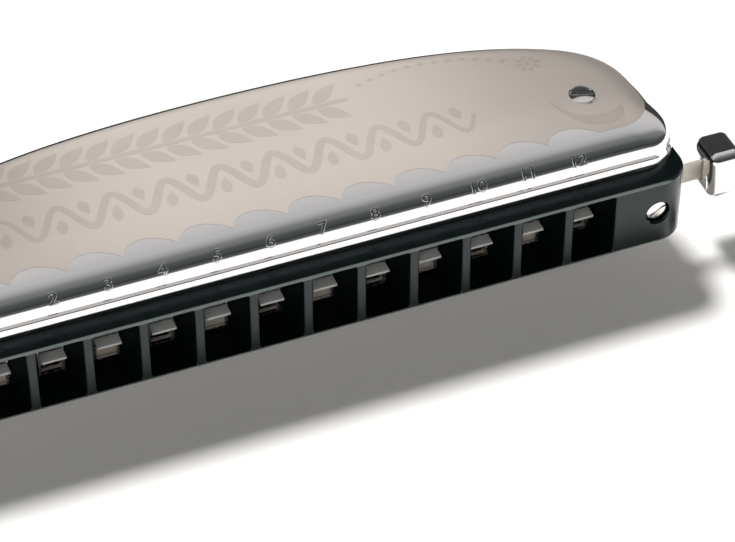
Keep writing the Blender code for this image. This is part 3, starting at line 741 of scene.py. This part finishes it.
def cover_mesh():
    """The upper cover: one pressed sheet with a groove along its front, screw seats and a sound opening."""
    bm = bmesh.new()
    rings = []
    profiles = (smooth_line(profile, PROFILE_STEPS) for profile in (END_PROFILE, FRONT_PROFILE, BACK_PROFILE))
    for end, front, back in zip(*profiles):
        points = outline(HALF_LENGTH - end.x * MM, RIM_Y + front.x * MM, BACK_Y - back.x * MM)
        ring = []
        for x, y, (end_share, front_share, back_share) in points:
            rise = end_share * end.y + front_share * front.y + back_share * back.y
            ring.append(bm.verts.new((x, y, RIM_Z + rise * MM)))
        rings.append(ring)
    for lower, upper in zip(rings, rings[1:]):
        for i in range(len(lower)):
            j = (i + 1) % len(lower)
            bm.faces.new((lower[i], lower[j], upper[j], upper[i]))
    bm.faces.new(rings[-1])
    shell = modified(mesh_from(bm, "shell"), "SOLIDIFY", thickness=COVER_SHEET, offset=-1.0)
    for x in (-COVER_SCREW_PLACE[0], COVER_SCREW_PLACE[0]):
        for tool, operation in seat_tools(x):
            shell = combined(shell, tool, operation)
    low = (-SOUND_HALF_WIDTH, depth_y(SOUND_DEPTH), RIM_Z - GAP)
    high = (SOUND_HALF_WIDTH, BACK_Y + GAP, RIM_Z + SOUND_TOP)
    opening = modified(box_mesh(low, high), "BEVEL", width=SOUND_CORNER, segments=5)
    return combined(shell, opening)


class CoverTop:
    """Finds the height of the upper cover's surface, and lays flat shapes on it."""

    def __init__(self, mesh):
        bm = bmesh_of(mesh)
        self.tree = BVHTree.FromBMesh(bm)
        bm.free()

    def height(self, x, y):
        start = Vector((x, y, TOP_Z + 5 * MM))
        hit = self.tree.ray_cast(start, Vector((0, 0, -1)))[0]
        return hit.z if hit else TOP_Z

    def draped(self, outlines, lift, grid):
        """Flat outlines laid on the cover as a closed sheet, cut to a grid first so that it can bend."""
        bm = bmesh_of(filled_mesh(outlines))
        for axis, step in enumerate(grid):
            values = [vert.co[axis] for vert in bm.verts]
            first, last = ceil(min(values) / step), floor(max(values) / step)
            normal = Vector((axis == 0, axis == 1, 0))
            for k in range(first, last + 1):
                everything = [*bm.verts, *bm.edges, *bm.faces]
                plane = {"plane_co": normal * k * step, "plane_no": normal}
                bmesh.ops.bisect_plane(bm, geom=everything, dist=1e-7, **plane)
        for vert in bm.verts:
            vert.co.z = self.height(vert.co.x, vert.co.y) + lift
        for face in bm.faces:
            face.normal_update()
            if face.normal.z < 0:
                face.normal_flip()
        flat = mesh_from(bm, "draped", outward=False)
        return modified(flat, "SOLIDIFY", thickness=INLAY_SHEET, offset=-1.0)


def panel_outline():
    """The satin panel's outline: waves at the front, one for each hole, and the cover's own curve behind."""
    waves_end = HOLES // 2 * PITCH
    cusp_y = depth_y(PANEL_FRONT) - SCALLOP_DEPTH
    before, after = [], []
    for x, y, shares in outline(HALF_LENGTH - PANEL_END, cusp_y, BACK_Y - PANEL_BACK):
        if shares[1] == 0 or x < -waves_end:
            before.append((x, y))
        elif x > waves_end:
            after.append((x, y))
    waves = []
    for number in range(-HOLES // 2, HOLES // 2):
        for k in range(SCALLOP_POINTS):
            share = k / SCALLOP_POINTS
            rise = sin(pi * share**SCALLOP_LEAN) ** 0.8
            waves.append(((number + share) * PITCH, cusp_y + SCALLOP_DEPTH * rise))
    return [*before, *waves, (waves_end, cusp_y), *after]


def around(x, y, radius, angle):
    """The place at this distance and angle from a centre."""
    return x + radius * cos(angle), y + radius * sin(angle)


def circle(x, y, radius, steps=32):
    return [around(x, y, radius, 2 * pi * i / steps) for i in range(steps)]


def leaf(x, y, length, width, angle, steps=10):
    """A pointed leaf that starts at a place and points along an angle."""
    sides = []
    for side in (1, -1):
        for i in range(steps):
            t = i / steps if side > 0 else 1 - i / steps
            along = length * t
            across = side * 0.5 * width * sin(pi * t**0.8)
            c, s = cos(angle), sin(angle)
            sides.append((x + along * c - across * s, y + along * s + across * c))
    return sides


def ribbon(points, widths):
    """A band of changing width along a line."""
    left, right = [], []
    for i, (x, y) in enumerate(points):
        x0, y0 = points[max(i - 1, 0)]
        x1, y1 = points[min(i + 1, len(points) - 1)]
        length = hypot(x1 - x0, y1 - y0)
        nx, ny = -(y1 - y0) / length, (x1 - x0) / length
        half = widths[i] / 2
        left.append((x + nx * half, y + ny * half))
        right.append((x - nx * half, y - ny * half))
    return left + right[::-1]


def laurel():
    """A plain branch with leaves in pairs, along the middle of the panel."""
    shapes = []
    middle = depth_y(BRANCH_DEPTH)
    start, end = BRANCH_ENDS
    for i in range(int((end - start) / LEAF_STEP) + 1):
        for side in (1, -1):
            place = (start + i * LEAF_STEP, middle + side * LEAF_LIFT)
            shapes.append(leaf(*place, *LEAF_SIZE, side * LEAF_SLOPE))
    first, length = start - STEM_BEFORE, end - start + STEM_EXTRA
    stem = [(first + length * i / STEM_STEPS, middle) for i in range(STEM_STEPS + 1)]
    shapes.append(ribbon(stem, [STEM_WIDTH] * len(stem)))
    return shapes


def running_wave():
    """A wave with a bud in each bend, in front of the branch."""
    middle = depth_y(WAVE_DEPTH)
    start, end = WAVE_ENDS
    line, widths = [], []
    for i in range(WAVE_STEPS + 1):
        x = start + (end - start) * i / WAVE_STEPS
        line.append((x, middle + WAVE_SWING * sin(2 * pi * x / PITCH)))
        taper = sin(pi * (i + BLUNT_STEPS) / (WAVE_STEPS + 2 * BLUNT_STEPS))
        widths.append(WAVE_WIDTH * taper**WAVE_TAPER)
    shapes = [ribbon(line, widths)]
    for i in range(int((end - start) / PITCH * 2)):
        x = (ceil(start / PITCH * 2) + i + 0.5) * PITCH / 2
        side = 1 if sin(2 * pi * x / PITCH) > 0 else -1
        place = (x - BUD_OFFSET[0], middle - side * BUD_OFFSET[1])
        shapes.append(leaf(*place, *BUD_SIZE, side * BUD_SLOPE))
    return shapes


def dotted_arc():
    """Small lozenges on an arc behind the end of the branch."""
    shapes = []
    for i in range(ARC_DOTS):
        angle = radians(ARC_START - i * ARC_STEP)
        x = ARC_CENTRE[0] + ARC_RADII[0] * cos(angle) - DOT_SIZE[0] / 2
        y = depth_y(ARC_CENTRE[1]) + ARC_RADII[1] * sin(angle)
        shapes.append(leaf(x, y, *DOT_SIZE, 0.0, 2))
    return shapes


def rosette():
    """A flower of eight petals where the arc ends."""
    x, y = FLOWER_PLACE[0], depth_y(FLOWER_PLACE[1])
    shapes = []
    for i in range(PETALS):
        angle = 2 * pi * i / PETALS
        shapes.append(leaf(*around(x, y, PETAL_START, angle), *PETAL_SIZE, angle, 6))
    shapes.append(circle(x, y, FLOWER_HEART, 16))
    return shapes


def crescent():
    """A curved leaf round the front of the right-hand screw, thicker towards the end of the cover."""
    screw_x = COVER_SCREW_PLACE[0]
    spine = smooth_line([(x, depth) for x, depth, _ in CRESCENT], 5)
    widths = smooth_line([(width, 0) for _, _, width in CRESCENT], 5)
    points = [(screw_x + place.x * MM, depth_y(place.y * MM)) for place in spine]
    return [ribbon(points, [width.x * MM for width in widths])]


def front_place(arc, lift, line):
    """The (y, z) this far up the cover's front profile from the rim, and this far out from it."""
    for start, end in zip(line, line[1:]):
        step = (end - start).length
        if arc <= step:
            break
        arc -= step
    along = (end - start) / step
    point = start + along * arc
    return RIM_Y + (point.x - along.y * lift / MM) * MM, RIM_Z + (point.y + along.x * lift / MM) * MM


def hole_number(number, line):
    """An embossed number on the front slope of the upper cover, bent to its curve."""
    text = bpy.data.curves.new("number", "FONT")
    configured(text, body=str(number), size=NUMBER_SIZE, align_x="CENTER", offset=NUMBER_THINNING)
    configured(text, extrude=NUMBER_RELIEF, bevel_depth=NUMBER_ROUND, bevel_resolution=3)
    mesh = curve_mesh(text)
    for vert in mesh.vertices:
        y, z = front_place(NUMBER_ARC + vert.co.y / MM, vert.co.z, line)
        vert.co = (NUMBER_SPREAD * hole_x(number) + NUMBER_SHIFT + NUMBER_WIDEN * vert.co.x, y, z)
    return cleaned(mesh, "number")


def build_covers():
    """Both covers with their satin panels, and the ornament and hole numbers of the upper one."""
    upper = cover_mesh()
    top = CoverTop(upper)
    shells = {"top": upper, "bottom": mirrored(upper, "lower_cover")}
    for level, shell in shells.items():
        name, node = f"cover_shell_{level}", f"{level}_cover"
        piece(name, shell, "polished_steel", stands_for=(node,), angle=50)
    screw_y = depth_y(COVER_SCREW_PLACE[1])
    seats = [circle(side * COVER_SCREW_PLACE[0], screw_y, PANEL_HOLE) for side in (-1, 1)]
    panel = top.draped([panel_outline(), *seats], PANEL_LIFT, PANEL_GRID)
    panel_below = mirrored(panel, "panel_below")
    piece("satin_panel_top", panel, "satin_steel")
    piece("satin_panel_bottom", panel_below, "satin_steel")
    ornaments = {"laurel": laurel(), "wave": running_wave(), "arc": dotted_arc()}
    ornaments |= {"rosette": rosette(), "crescent": crescent()}
    for kind, shapes in ornaments.items():
        name = f"ornament_{kind}"
        bm = bmesh.new()
        for shape in shapes:
            bm.from_mesh(top.draped([shape], ORNAMENT_LIFT, ORNAMENT_GRID))
        piece(name, mesh_from(bm, name, outward=False), "etched_steel")
    line = smooth_line(FRONT_PROFILE, PROFILE_STEPS)
    for number in range(1, HOLES + 1):
        piece(f"hole_number_{number:02d}", hole_number(number, line), "struck_steel")


# Mouthpiece.


def rounded_rectangle(x, y, half_width, half_height, radius):
    """The outline of a mouth hole at this depth, round the middle of the mouthpiece's height."""
    points = []
    for quarter in range(4):
        cx = (half_width - radius) * (1 if quarter in (0, 3) else -1)
        cz = (half_height - radius) * (1 if quarter in (0, 1) else -1)
        for i in range(CORNER_STEPS + 1):
            angle = 0.5 * pi * (quarter + i / CORNER_STEPS)
            px, pz = around(x + cx, MID_Z + cz, radius, angle)
            points.append((px, y, pz))
    return points


def hole_tool(number):
    """A mouth hole with a rounded rim, which narrows towards the slide."""
    taper = (HOLE_SIZE[0] - HOLE_BACK_WIDTH) / (2 * CHANNEL_DEPTH)
    rings = [(HOLE_RIM, -OVERCUT)]
    for i in range(1, RIM_STEPS + 1):
        angle = 0.5 * pi * i / RIM_STEPS
        rings.append((HOLE_RIM * (1 - sin(angle)), HOLE_RIM * (1 - cos(angle))))
    rings.append((0.0, CHANNEL_DEPTH + GAP))
    sections = []
    for flare, depth in rings:
        half_width = HOLE_SIZE[0] / 2 + flare - taper * max(depth, 0.0)
        half_height = HOLE_SIZE[1] / 2 + flare
        place = (hole_x(number), depth_y(depth))
        sections.append(rounded_rectangle(*place, half_width, half_height, HOLE_CORNER + flare))
    return lofted(sections)


def bar_mesh():
    """The mouthpiece without its holes, its edges rounded at the lips and at its ends."""
    corner = CORNER_RADIUS
    straight = MOUTH_HIGH.x - corner
    half = (MOUTH_HIGH.z - MOUTH_LOW.z) / 2
    profile = []
    for i in range(LIP_STEPS + 1):
        angle = 0.5 * pi * i / LIP_STEPS
        profile.append((LIP_EDGE * (1 - cos(angle)), half - LIP_EDGE * (1 - sin(angle))))
    profile = [(i, -height) for i, height in profile[::-1]] + profile
    rings = []
    for inset, height in profile:
        ring = [(straight + corner - inset, MOUTH_HIGH.y), (-straight - corner + inset, MOUTH_HIGH.y)]
        for side in (-1, 1):
            arc = []
            for i in range(END_STEPS + 1):
                angle = 0.5 * pi * i / END_STEPS
                x = side * (straight + (corner - inset) * cos(angle))
                arc.append((x, LIP_Y + corner - (corner - inset) * sin(angle)))
            ring += arc if side < 0 else arc[::-1]
        rings.append([(x, y, MID_Z + height) for x, y in ring])
    return lofted(rings)


def mouth_screw_tools(side):
    """The chamfered seat and the bore of one of the mouthpiece's screws."""
    x = middle_of(*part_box(f"mouthpiece_screw_{side}"))[0]
    centre = (x, LIP_Y, MID_Z)
    radius = MOUTH_SCREW[0] + GAP
    rim = radius + SEAT_CHAMFER
    base = -(MOUTH_SCREW[1] + 2 * GAP)
    seat = ((0, base), (radius, base), (radius, -SEAT_CHAMFER), (rim, 0), (rim, GAP), (0, GAP))
    bore = rod(MOUTH_SCREW[2] + GAP, -SCREW_BORE_DEPTH, -GAP)
    return [turned_mesh(seat, centre, "-Y", 40), turned_mesh(bore, centre, "-Y", 24)]


def build_mouthpiece():
    """The mouthpiece, with room for the guides, the slide, the spring, the mouth holes and the screws."""
    behind = MOUTH_HIGH.y + GAP
    half = CHANNEL_HEIGHT / 2
    reach = GUIDE_END + GAP
    tang = TANG_HEIGHT / 2
    spring_z = (SPRING_LOW.z + SPRING_HIGH.z) / 2
    pocket = SPRING_POCKET / 2
    pocket_low = (SPRING_LOW.x - GAP, SPRING_LOW.y - GAP, spring_z - pocket)
    tools = [
        box_mesh((-reach, depth_y(CHANNEL_DEPTH), MID_Z - half), (reach, behind, MID_Z + half)),
        box_mesh((reach - GAP, SLIDE_LOW.y - GAP, MID_Z - tang), (HALF_LENGTH + GAP, behind, MID_Z + tang)),
        box_mesh(pocket_low, (-reach + GAP, behind, spring_z + pocket)),
    ]
    tools += [hole_tool(number) for number in range(1, HOLES + 1)]
    tools += mouth_screw_tools("left") + mouth_screw_tools("right")
    bar = bar_mesh()
    for tool in tools:
        bar = combined(bar, tool)
    look, node = "mouthpiece_plastic", "mouthpiece"
    piece("mouthpiece_bar", bar, look, stands_for=(node,), angle=32, flat_faces=True)


def build_tongues():
    """The twelve tongues of the front guide, with rounded tips and broken edges."""
    bm = bmesh.new()
    hinge_depth, hinge_rise = TONGUE_HINGE
    half_width, half_thickness = TONGUE_WIDTH / 2, TONGUE_THICKNESS / 2
    for number in range(1, HOLES + 1):
        x, z = hole_x(number), MID_Z + hinge_rise
        low = (x - half_width, depth_y(TONGUE_TIP), z - half_thickness)
        high = (x + half_width, depth_y(TONGUE_ROOT), z + half_thickness)
        for vert in add_box(bm, low, high):
            vert.co.z += (vert.co.y - depth_y(hinge_depth)) * tan(TONGUE_DROP)
    tongues = modified(mesh_from(bm, "tongues"), "BEVEL", width=TONGUE_EDGE, segments=3)
    piece("guide_tongues", tongues, "dull_nickel")


# Small pieces.


def screw_mesh(screw, length, place, axis, turn):
    """A slotted screw with a crowned head. It stands on the underside of its head."""
    radius, height, shank = screw
    crown = CROWN * radius
    top = 0.5 * height + crown
    profile = [(0, -length), (0.7 * shank, -length), (shank, -length + SHANK_POINT), (shank, 0)]
    profile += [(radius - HEAD_UNDERCUT, 0), (radius, 0.08 * height)]
    for i in range(CROWN_STEPS + 1):
        share = 1 - i / CROWN_STEPS
        profile.append((radius * share, top - crown * share**2))
    half = SLOT_SHARE * radius
    slot = box_mesh((-2 * radius, -half, top - SLOT_DEPTH), (2 * radius, half, 2 * top))
    head = combined(turned_mesh(profile, (0, 0, 0), steps=48), slot)
    edges = {"limit_method": "ANGLE", "angle_limit": radians(50)}
    head = modified(head, "BEVEL", width=HEAD_EDGE, segments=3, **edges)
    tip = {"Z": 0.0, "-Z": pi, "-Y": pi / 2}[axis]
    tipped = Matrix.Rotation(tip, 4, "X") @ Matrix.Rotation(radians(turn), 4, "Z")
    head.transform(Matrix.Translation(place) @ tipped)
    return head


def add_screw(node, screw, place, length, axis, turn, look):
    mesh = screw_mesh(screw, length - screw[1], place, axis, turn)
    piece(f"{node}_head", mesh, look, stands_for=(node,))


def build_screws():
    """All twelve screws, with their slots at the angles a hand leaves them."""
    nickel = "screw_nickel"
    seat = TOP_Z - SEAT_DEPTH + SEAT_CLEARANCE - MID_Z
    for level, axis, side in (("top", "Z", 1), ("bottom", "-Z", -1)):
        for hand in ("left", "right"):
            node = f"cover_screw_{level}_{hand}"
            low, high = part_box(node)
            place = (*middle_of(low, high)[:2], MID_Z + side * seat)
            add_screw(node, COVER_SCREW, place, high.z - low.z, axis, SCREW_TURNS[hand], nickel)
        for number in ("1", "2", "3"):
            node = f"plate_screw_{level}_{number}"
            low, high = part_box(node)
            head_z = high.z - PLATE_SCREW[1] if side > 0 else low.z + PLATE_SCREW[1]
            place = (*middle_of(low, high)[:2], head_z)
            add_screw(node, PLATE_SCREW, place, high.z - low.z, axis, SCREW_TURNS[number], nickel)
    for hand in ("left", "right"):
        node = f"mouthpiece_screw_{hand}"
        low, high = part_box(node)
        place = (middle_of(low, high)[0], low.y + MOUTH_SCREW[1], MID_Z)
        turn = SCREW_TURNS[hand] + MOUTH_SCREW_TURN
        add_screw(node, MOUTH_SCREW, place, high.y - low.y, "-Y", turn, nickel)


def build_button():
    """The button: a rounded block, hollowed where the slide's neck goes in."""
    block = modified(box_mesh(BUTTON_LOW, BUTTON_HIGH), "BEVEL", width=BUTTON_EDGE, segments=8)
    middle = (SLIDE_LOW.y + SLIDE_HIGH.y) / 2
    half_depth = (SLIDE_HIGH.y - SLIDE_LOW.y) / 2 + GAP
    neck = NECK_HALF_HEIGHT + GAP
    low = (BUTTON_LOW.x - GAP, middle - half_depth, MID_Z - neck)
    high = (SLIDE_HIGH.x + GAP, middle + half_depth, MID_Z + neck)
    block = combined(block, box_mesh(low, high))
    steel, node = "polished_steel", "slide_button"
    piece("button_cap", block, steel, SLIDE_BODY, (node,), angle=40, flat_faces=True)


def build_spring():
    """The return spring: one coil of wire along the CAD spring's box, at a single length, though the real
    spring shortens as the slide goes in.
    """
    radius = (SPRING_HIGH.z - SPRING_LOW.z) / 2 - SPRING_WIRE
    _, centre_y, centre_z = middle_of(SPRING_LOW, SPRING_HIGH)
    start, end = SPRING_LOW.x + SPRING_WIRE, SPRING_HIGH.x - SPRING_WIRE
    curve = bpy.data.curves.new("spring", "CURVE")
    configured(curve, dimensions="3D", bevel_depth=SPRING_WIRE, bevel_resolution=3, use_fill_caps=True)
    points = []
    steps = SPRING_TURNS * SPRING_STEPS
    for i in range(steps + 1):
        x = start + (end - start) * (i / steps)
        points.append((x, *around(centre_y, centre_z, radius, 2 * pi * i / SPRING_STEPS)))
    add_line(curve, points)
    mesh = curve_mesh(curve)
    spring = piece("spring_coil", mesh, "spring_wire", stands_for=("return_spring",))
    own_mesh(spring)


def reed_points(x, number):
    """A reed's outline from above: its pad, then the tongue that narrows to the tip."""
    root, tip = depth_y(SLOT_FRONT), depth_y(SLOT_FRONT + reed_length(number) - GAP)
    pad, wide, narrow = REED_HALF_WIDTHS
    right = [(pad, root - PAD_LENGTH), (pad, root), (wide, root), (narrow, tip)]
    left = [(-half, y) for half, y in right[::-1]]
    return [(x + half, y) for half, y in (left[-1], *right, *left[:-1])]


def build_reeds():
    """The inner reeds, the rivets of all reeds, and the valves on the outer faces of the plates."""
    inner_z = PLATE_LOW.z - REED_SEAM - REED_THICKNESS / 2
    outer_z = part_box("draw_reed_top_01")[1].z
    rivets_in, rivets_out, valves = bmesh.new(), bmesh.new(), bmesh.new()
    rivet_y = depth_y(SLOT_FRONT - RIVET_SETBACK)
    for number in range(1, HOLES + 1):
        x = hole_x(number)
        mesh = filled_mesh([reed_points(x - REED_OFFSET, number)], REED_THICKNESS)
        for vert in mesh.vertices:
            vert.co.z += inner_z
        lower = mirrored(mesh, "reed")
        piece(f"blow_reed_top_{number:02d}", mesh, "reed_brass")
        piece(f"blow_reed_bottom_{number:02d}", lower, "reed_brass")
        add_turned(rivets_out, RIVET, (x + REED_OFFSET, rivet_y, outer_z), steps=16)
        add_turned(rivets_in, RIVET, (x - REED_OFFSET, rivet_y, inner_z - REED_THICKNESS / 2), "-Z", 16)
        add_valve(valves, x - REED_OFFSET, PLATE_HIGH.z, reed_length(number))
    for name, bm, look, slot in (
        ("outer_rivets", rivets_out, "rolled_brass", "brass"),
        ("inner_rivets", rivets_in, "rolled_brass", "brass"),
        ("valves", valves, "valve_film", "black_plastic"),
    ):
        upper = mesh_from(bm, name)
        below = mirrored(upper, name)
        piece(f"{name}_top", upper, look)
        piece(f"{name}_bottom", below, look)


def add_valve(bm, x, z, length):
    """A strip of film over an inner reed's slot, held at the front and curling up at the back."""
    left, right = x - VALVE_HALF_WIDTH, x + VALVE_HALF_WIDTH
    rings = []
    for i in range(VALVE_STEPS + 1):
        t = i / VALVE_STEPS
        y = depth_y(SLOT_FRONT - VALVE_START) + (length + VALVE_EXTRA) * t
        low = z + VALVE_LIFT + VALVE_CURL * t**3
        high = low + VALVE_FILM
        rings.append(((left, y, low), (right, y, low), (right, y, high), (left, y, high)))
    add_loft(bm, rings)


# CAD nodes.


def smooth_shading():
    """A node group that shades a mesh smooth, apart from edges sharper than SHARP_ANGLE."""
    tree = bpy.data.node_groups.new("smooth_shading", "GeometryNodeTree")
    tree.interface.new_socket("Geometry", in_out="INPUT", socket_type="NodeSocketGeometry")
    tree.interface.new_socket("Geometry", in_out="OUTPUT", socket_type="NodeSocketGeometry")
    graph = Graph(tree)
    entry = graph.node("NodeGroupInput").outputs[0]
    angle = graph.node("GeometryNodeInputMeshEdgeAngle").outputs["Unsigned Angle"]
    blunt = graph.node("FunctionNodeCompare", {"A": angle, "B": SHARP_ANGLE}, operation="LESS_THAN")
    faces = graph.node("GeometryNodeSetShadeSmooth", {"Geometry": entry}).outputs["Geometry"]
    inputs = {"Geometry": faces, "Shade Smooth": blunt.outputs["Result"]}
    edges = graph.node("GeometryNodeSetShadeSmooth", inputs, domain="EDGE")
    graph.node("NodeGroupOutput", {0: edges.outputs["Geometry"]})
    return tree


def finish_node(name, look, shading, edge=0.0):
    """Gives a CAD node its material, and breaks its edges by this much."""
    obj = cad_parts[name]
    obj.data.materials.clear()
    obj.data.materials.append(LOOKS[look])
    if not edge:
        return
    # Facets are joined first, so that only true edges are broken.
    add_modifier(obj, "WELD", merge_threshold=WELD_DISTANCE)
    add_modifier(obj, "DECIMATE", decimate_type="DISSOLVE", angle_limit=radians(1))
    limit = {"limit_method": "ANGLE", "angle_limit": radians(40)}
    add_modifier(obj, "BEVEL", width=edge, segments=2, use_clamp_overlap=True, **limit)
    add_modifier(obj, "NODES", node_group=shading)


def dress_nodes():
    """The looks of the CAD nodes that stay shown."""
    shading = smooth_shading()
    for name in ("slide_guide_front", "slide_guide_back"):
        finish_node(name, "nickel_plate", shading, SHEET_EDGE)
    finish_node("slide", "slide_nickel", shading, SHEET_EDGE)
    finish_node("comb", "black_plastic", shading, COMB_EDGE)
    for level in ("top", "bottom"):
        finish_node(f"{level}_reed_plate", "rolled_brass", shading, SHEET_EDGE)
        for number in range(1, HOLES + 1):
            finish_node(f"draw_reed_{level}_{number:02d}", "reed_brass", shading)


# Stage.


def build_floor():
    """A plain floor of white paper."""
    bm = bmesh.new()
    bmesh.ops.create_grid(bm, x_segments=8, y_segments=8, size=FLOOR_SIZE)
    sheet = add_object("floor", mesh_from(bm, "floor"))
    paper = Look("white_paper", (0.86, 0.86, 0.855), 0.85)
    sheet.data.materials.append(paper.mottled(3, 0.01).bumped(700, 0.01).material)


def build_suns():
    """A soft sun from behind, for the floor, and a weak one from the player's side. Gloss shows neither."""
    for name, (strength, width, colour, lean, angle) in SUNS.items():
        sun = bpy.data.lights.new(name, "SUN")
        configured(sun, energy=strength, angle=radians(width), color=colour)
        obj = add_object(name, sun)
        towards = Vector((lean, cos(radians(angle)), sin(radians(angle))))
        obj.rotation_euler = towards.to_track_quat("Z", "Y").to_euler()
        obj.visible_glossy = False


def build_sky():
    """A plain backdrop for the camera, a dim even light for matt surfaces, and the SKY's bands for gloss."""
    world = bpy.data.worlds.new("studio")
    bpy.context.scene.world = world
    world.use_nodes = True
    graph = Graph(world.node_tree)
    graph.nodes.clear()
    _, y, z = graph.split(graph.node("ShaderNodeTexCoord").outputs["Generated"])
    share = graph.spread(graph.maths("ARCTAN2", y, z), -pi, pi)
    ramp = graph.node("ShaderNodeValToRGB", {"Fac": share})
    ramp.color_ramp.interpolation = "EASE"
    stops = ramp.color_ramp.elements
    while len(stops) > 1:
        stops.remove(stops[-1])
    stops[0].position = SKY[0][0] / 360 + 0.5
    stops[0].color = (*SKY[0][1], 1.0)
    for degrees, colour in SKY[1:]:
        stops.new(degrees / 360 + 0.5).color = (*colour, 1.0)
    colours = (ramp.outputs["Color"], (*AMBIENT, 1.0), (*BACKDROP, 1.0))
    sky, ambient, backdrop = (graph.node("ShaderNodeBackground", {"Color": c}).outputs[0] for c in colours)
    ray = graph.node("ShaderNodeLightPath").outputs
    seen = sky
    for kind, light in (("Is Diffuse Ray", ambient), ("Is Camera Ray", backdrop)):
        seen = graph.node("ShaderNodeMixShader", {"Fac": ray[kind], 1: seen, 2: light}).outputs["Shader"]
    graph.node("ShaderNodeOutputWorld", {"Surface": seen})


def build_camera():
    """Stands at the photographer's place and looks along the same line."""
    level, rise = cos(CAMERA_ELEVATION), sin(CAMERA_ELEVATION)
    back = Vector((sin(CAMERA_AZIMUTH) * level, -cos(CAMERA_AZIMUTH) * level, rise))
    data = bpy.data.cameras.new("camera")
    configured(data, lens=CAMERA_LENS, sensor_width=SENSOR_WIDTH, clip_start=CLIPS[0], clip_end=CLIPS[1])
    camera = add_object("camera", data)
    camera.location = CAMERA_AT
    camera.rotation_mode = "QUATERNION"
    camera.rotation_quaternion = (-back).to_track_quat("-Z", "Y")
    bpy.context.scene.camera = camera
    bpy.context.scene.view_settings.view_transform = "Standard"
    bpy.context.scene.view_settings.look = "None"


dress_nodes()
build_covers()
build_mouthpiece()
build_tongues()
build_screws()
build_button()
build_spring()
build_reeds()
build_floor()
build_suns()
build_sky()
build_camera()
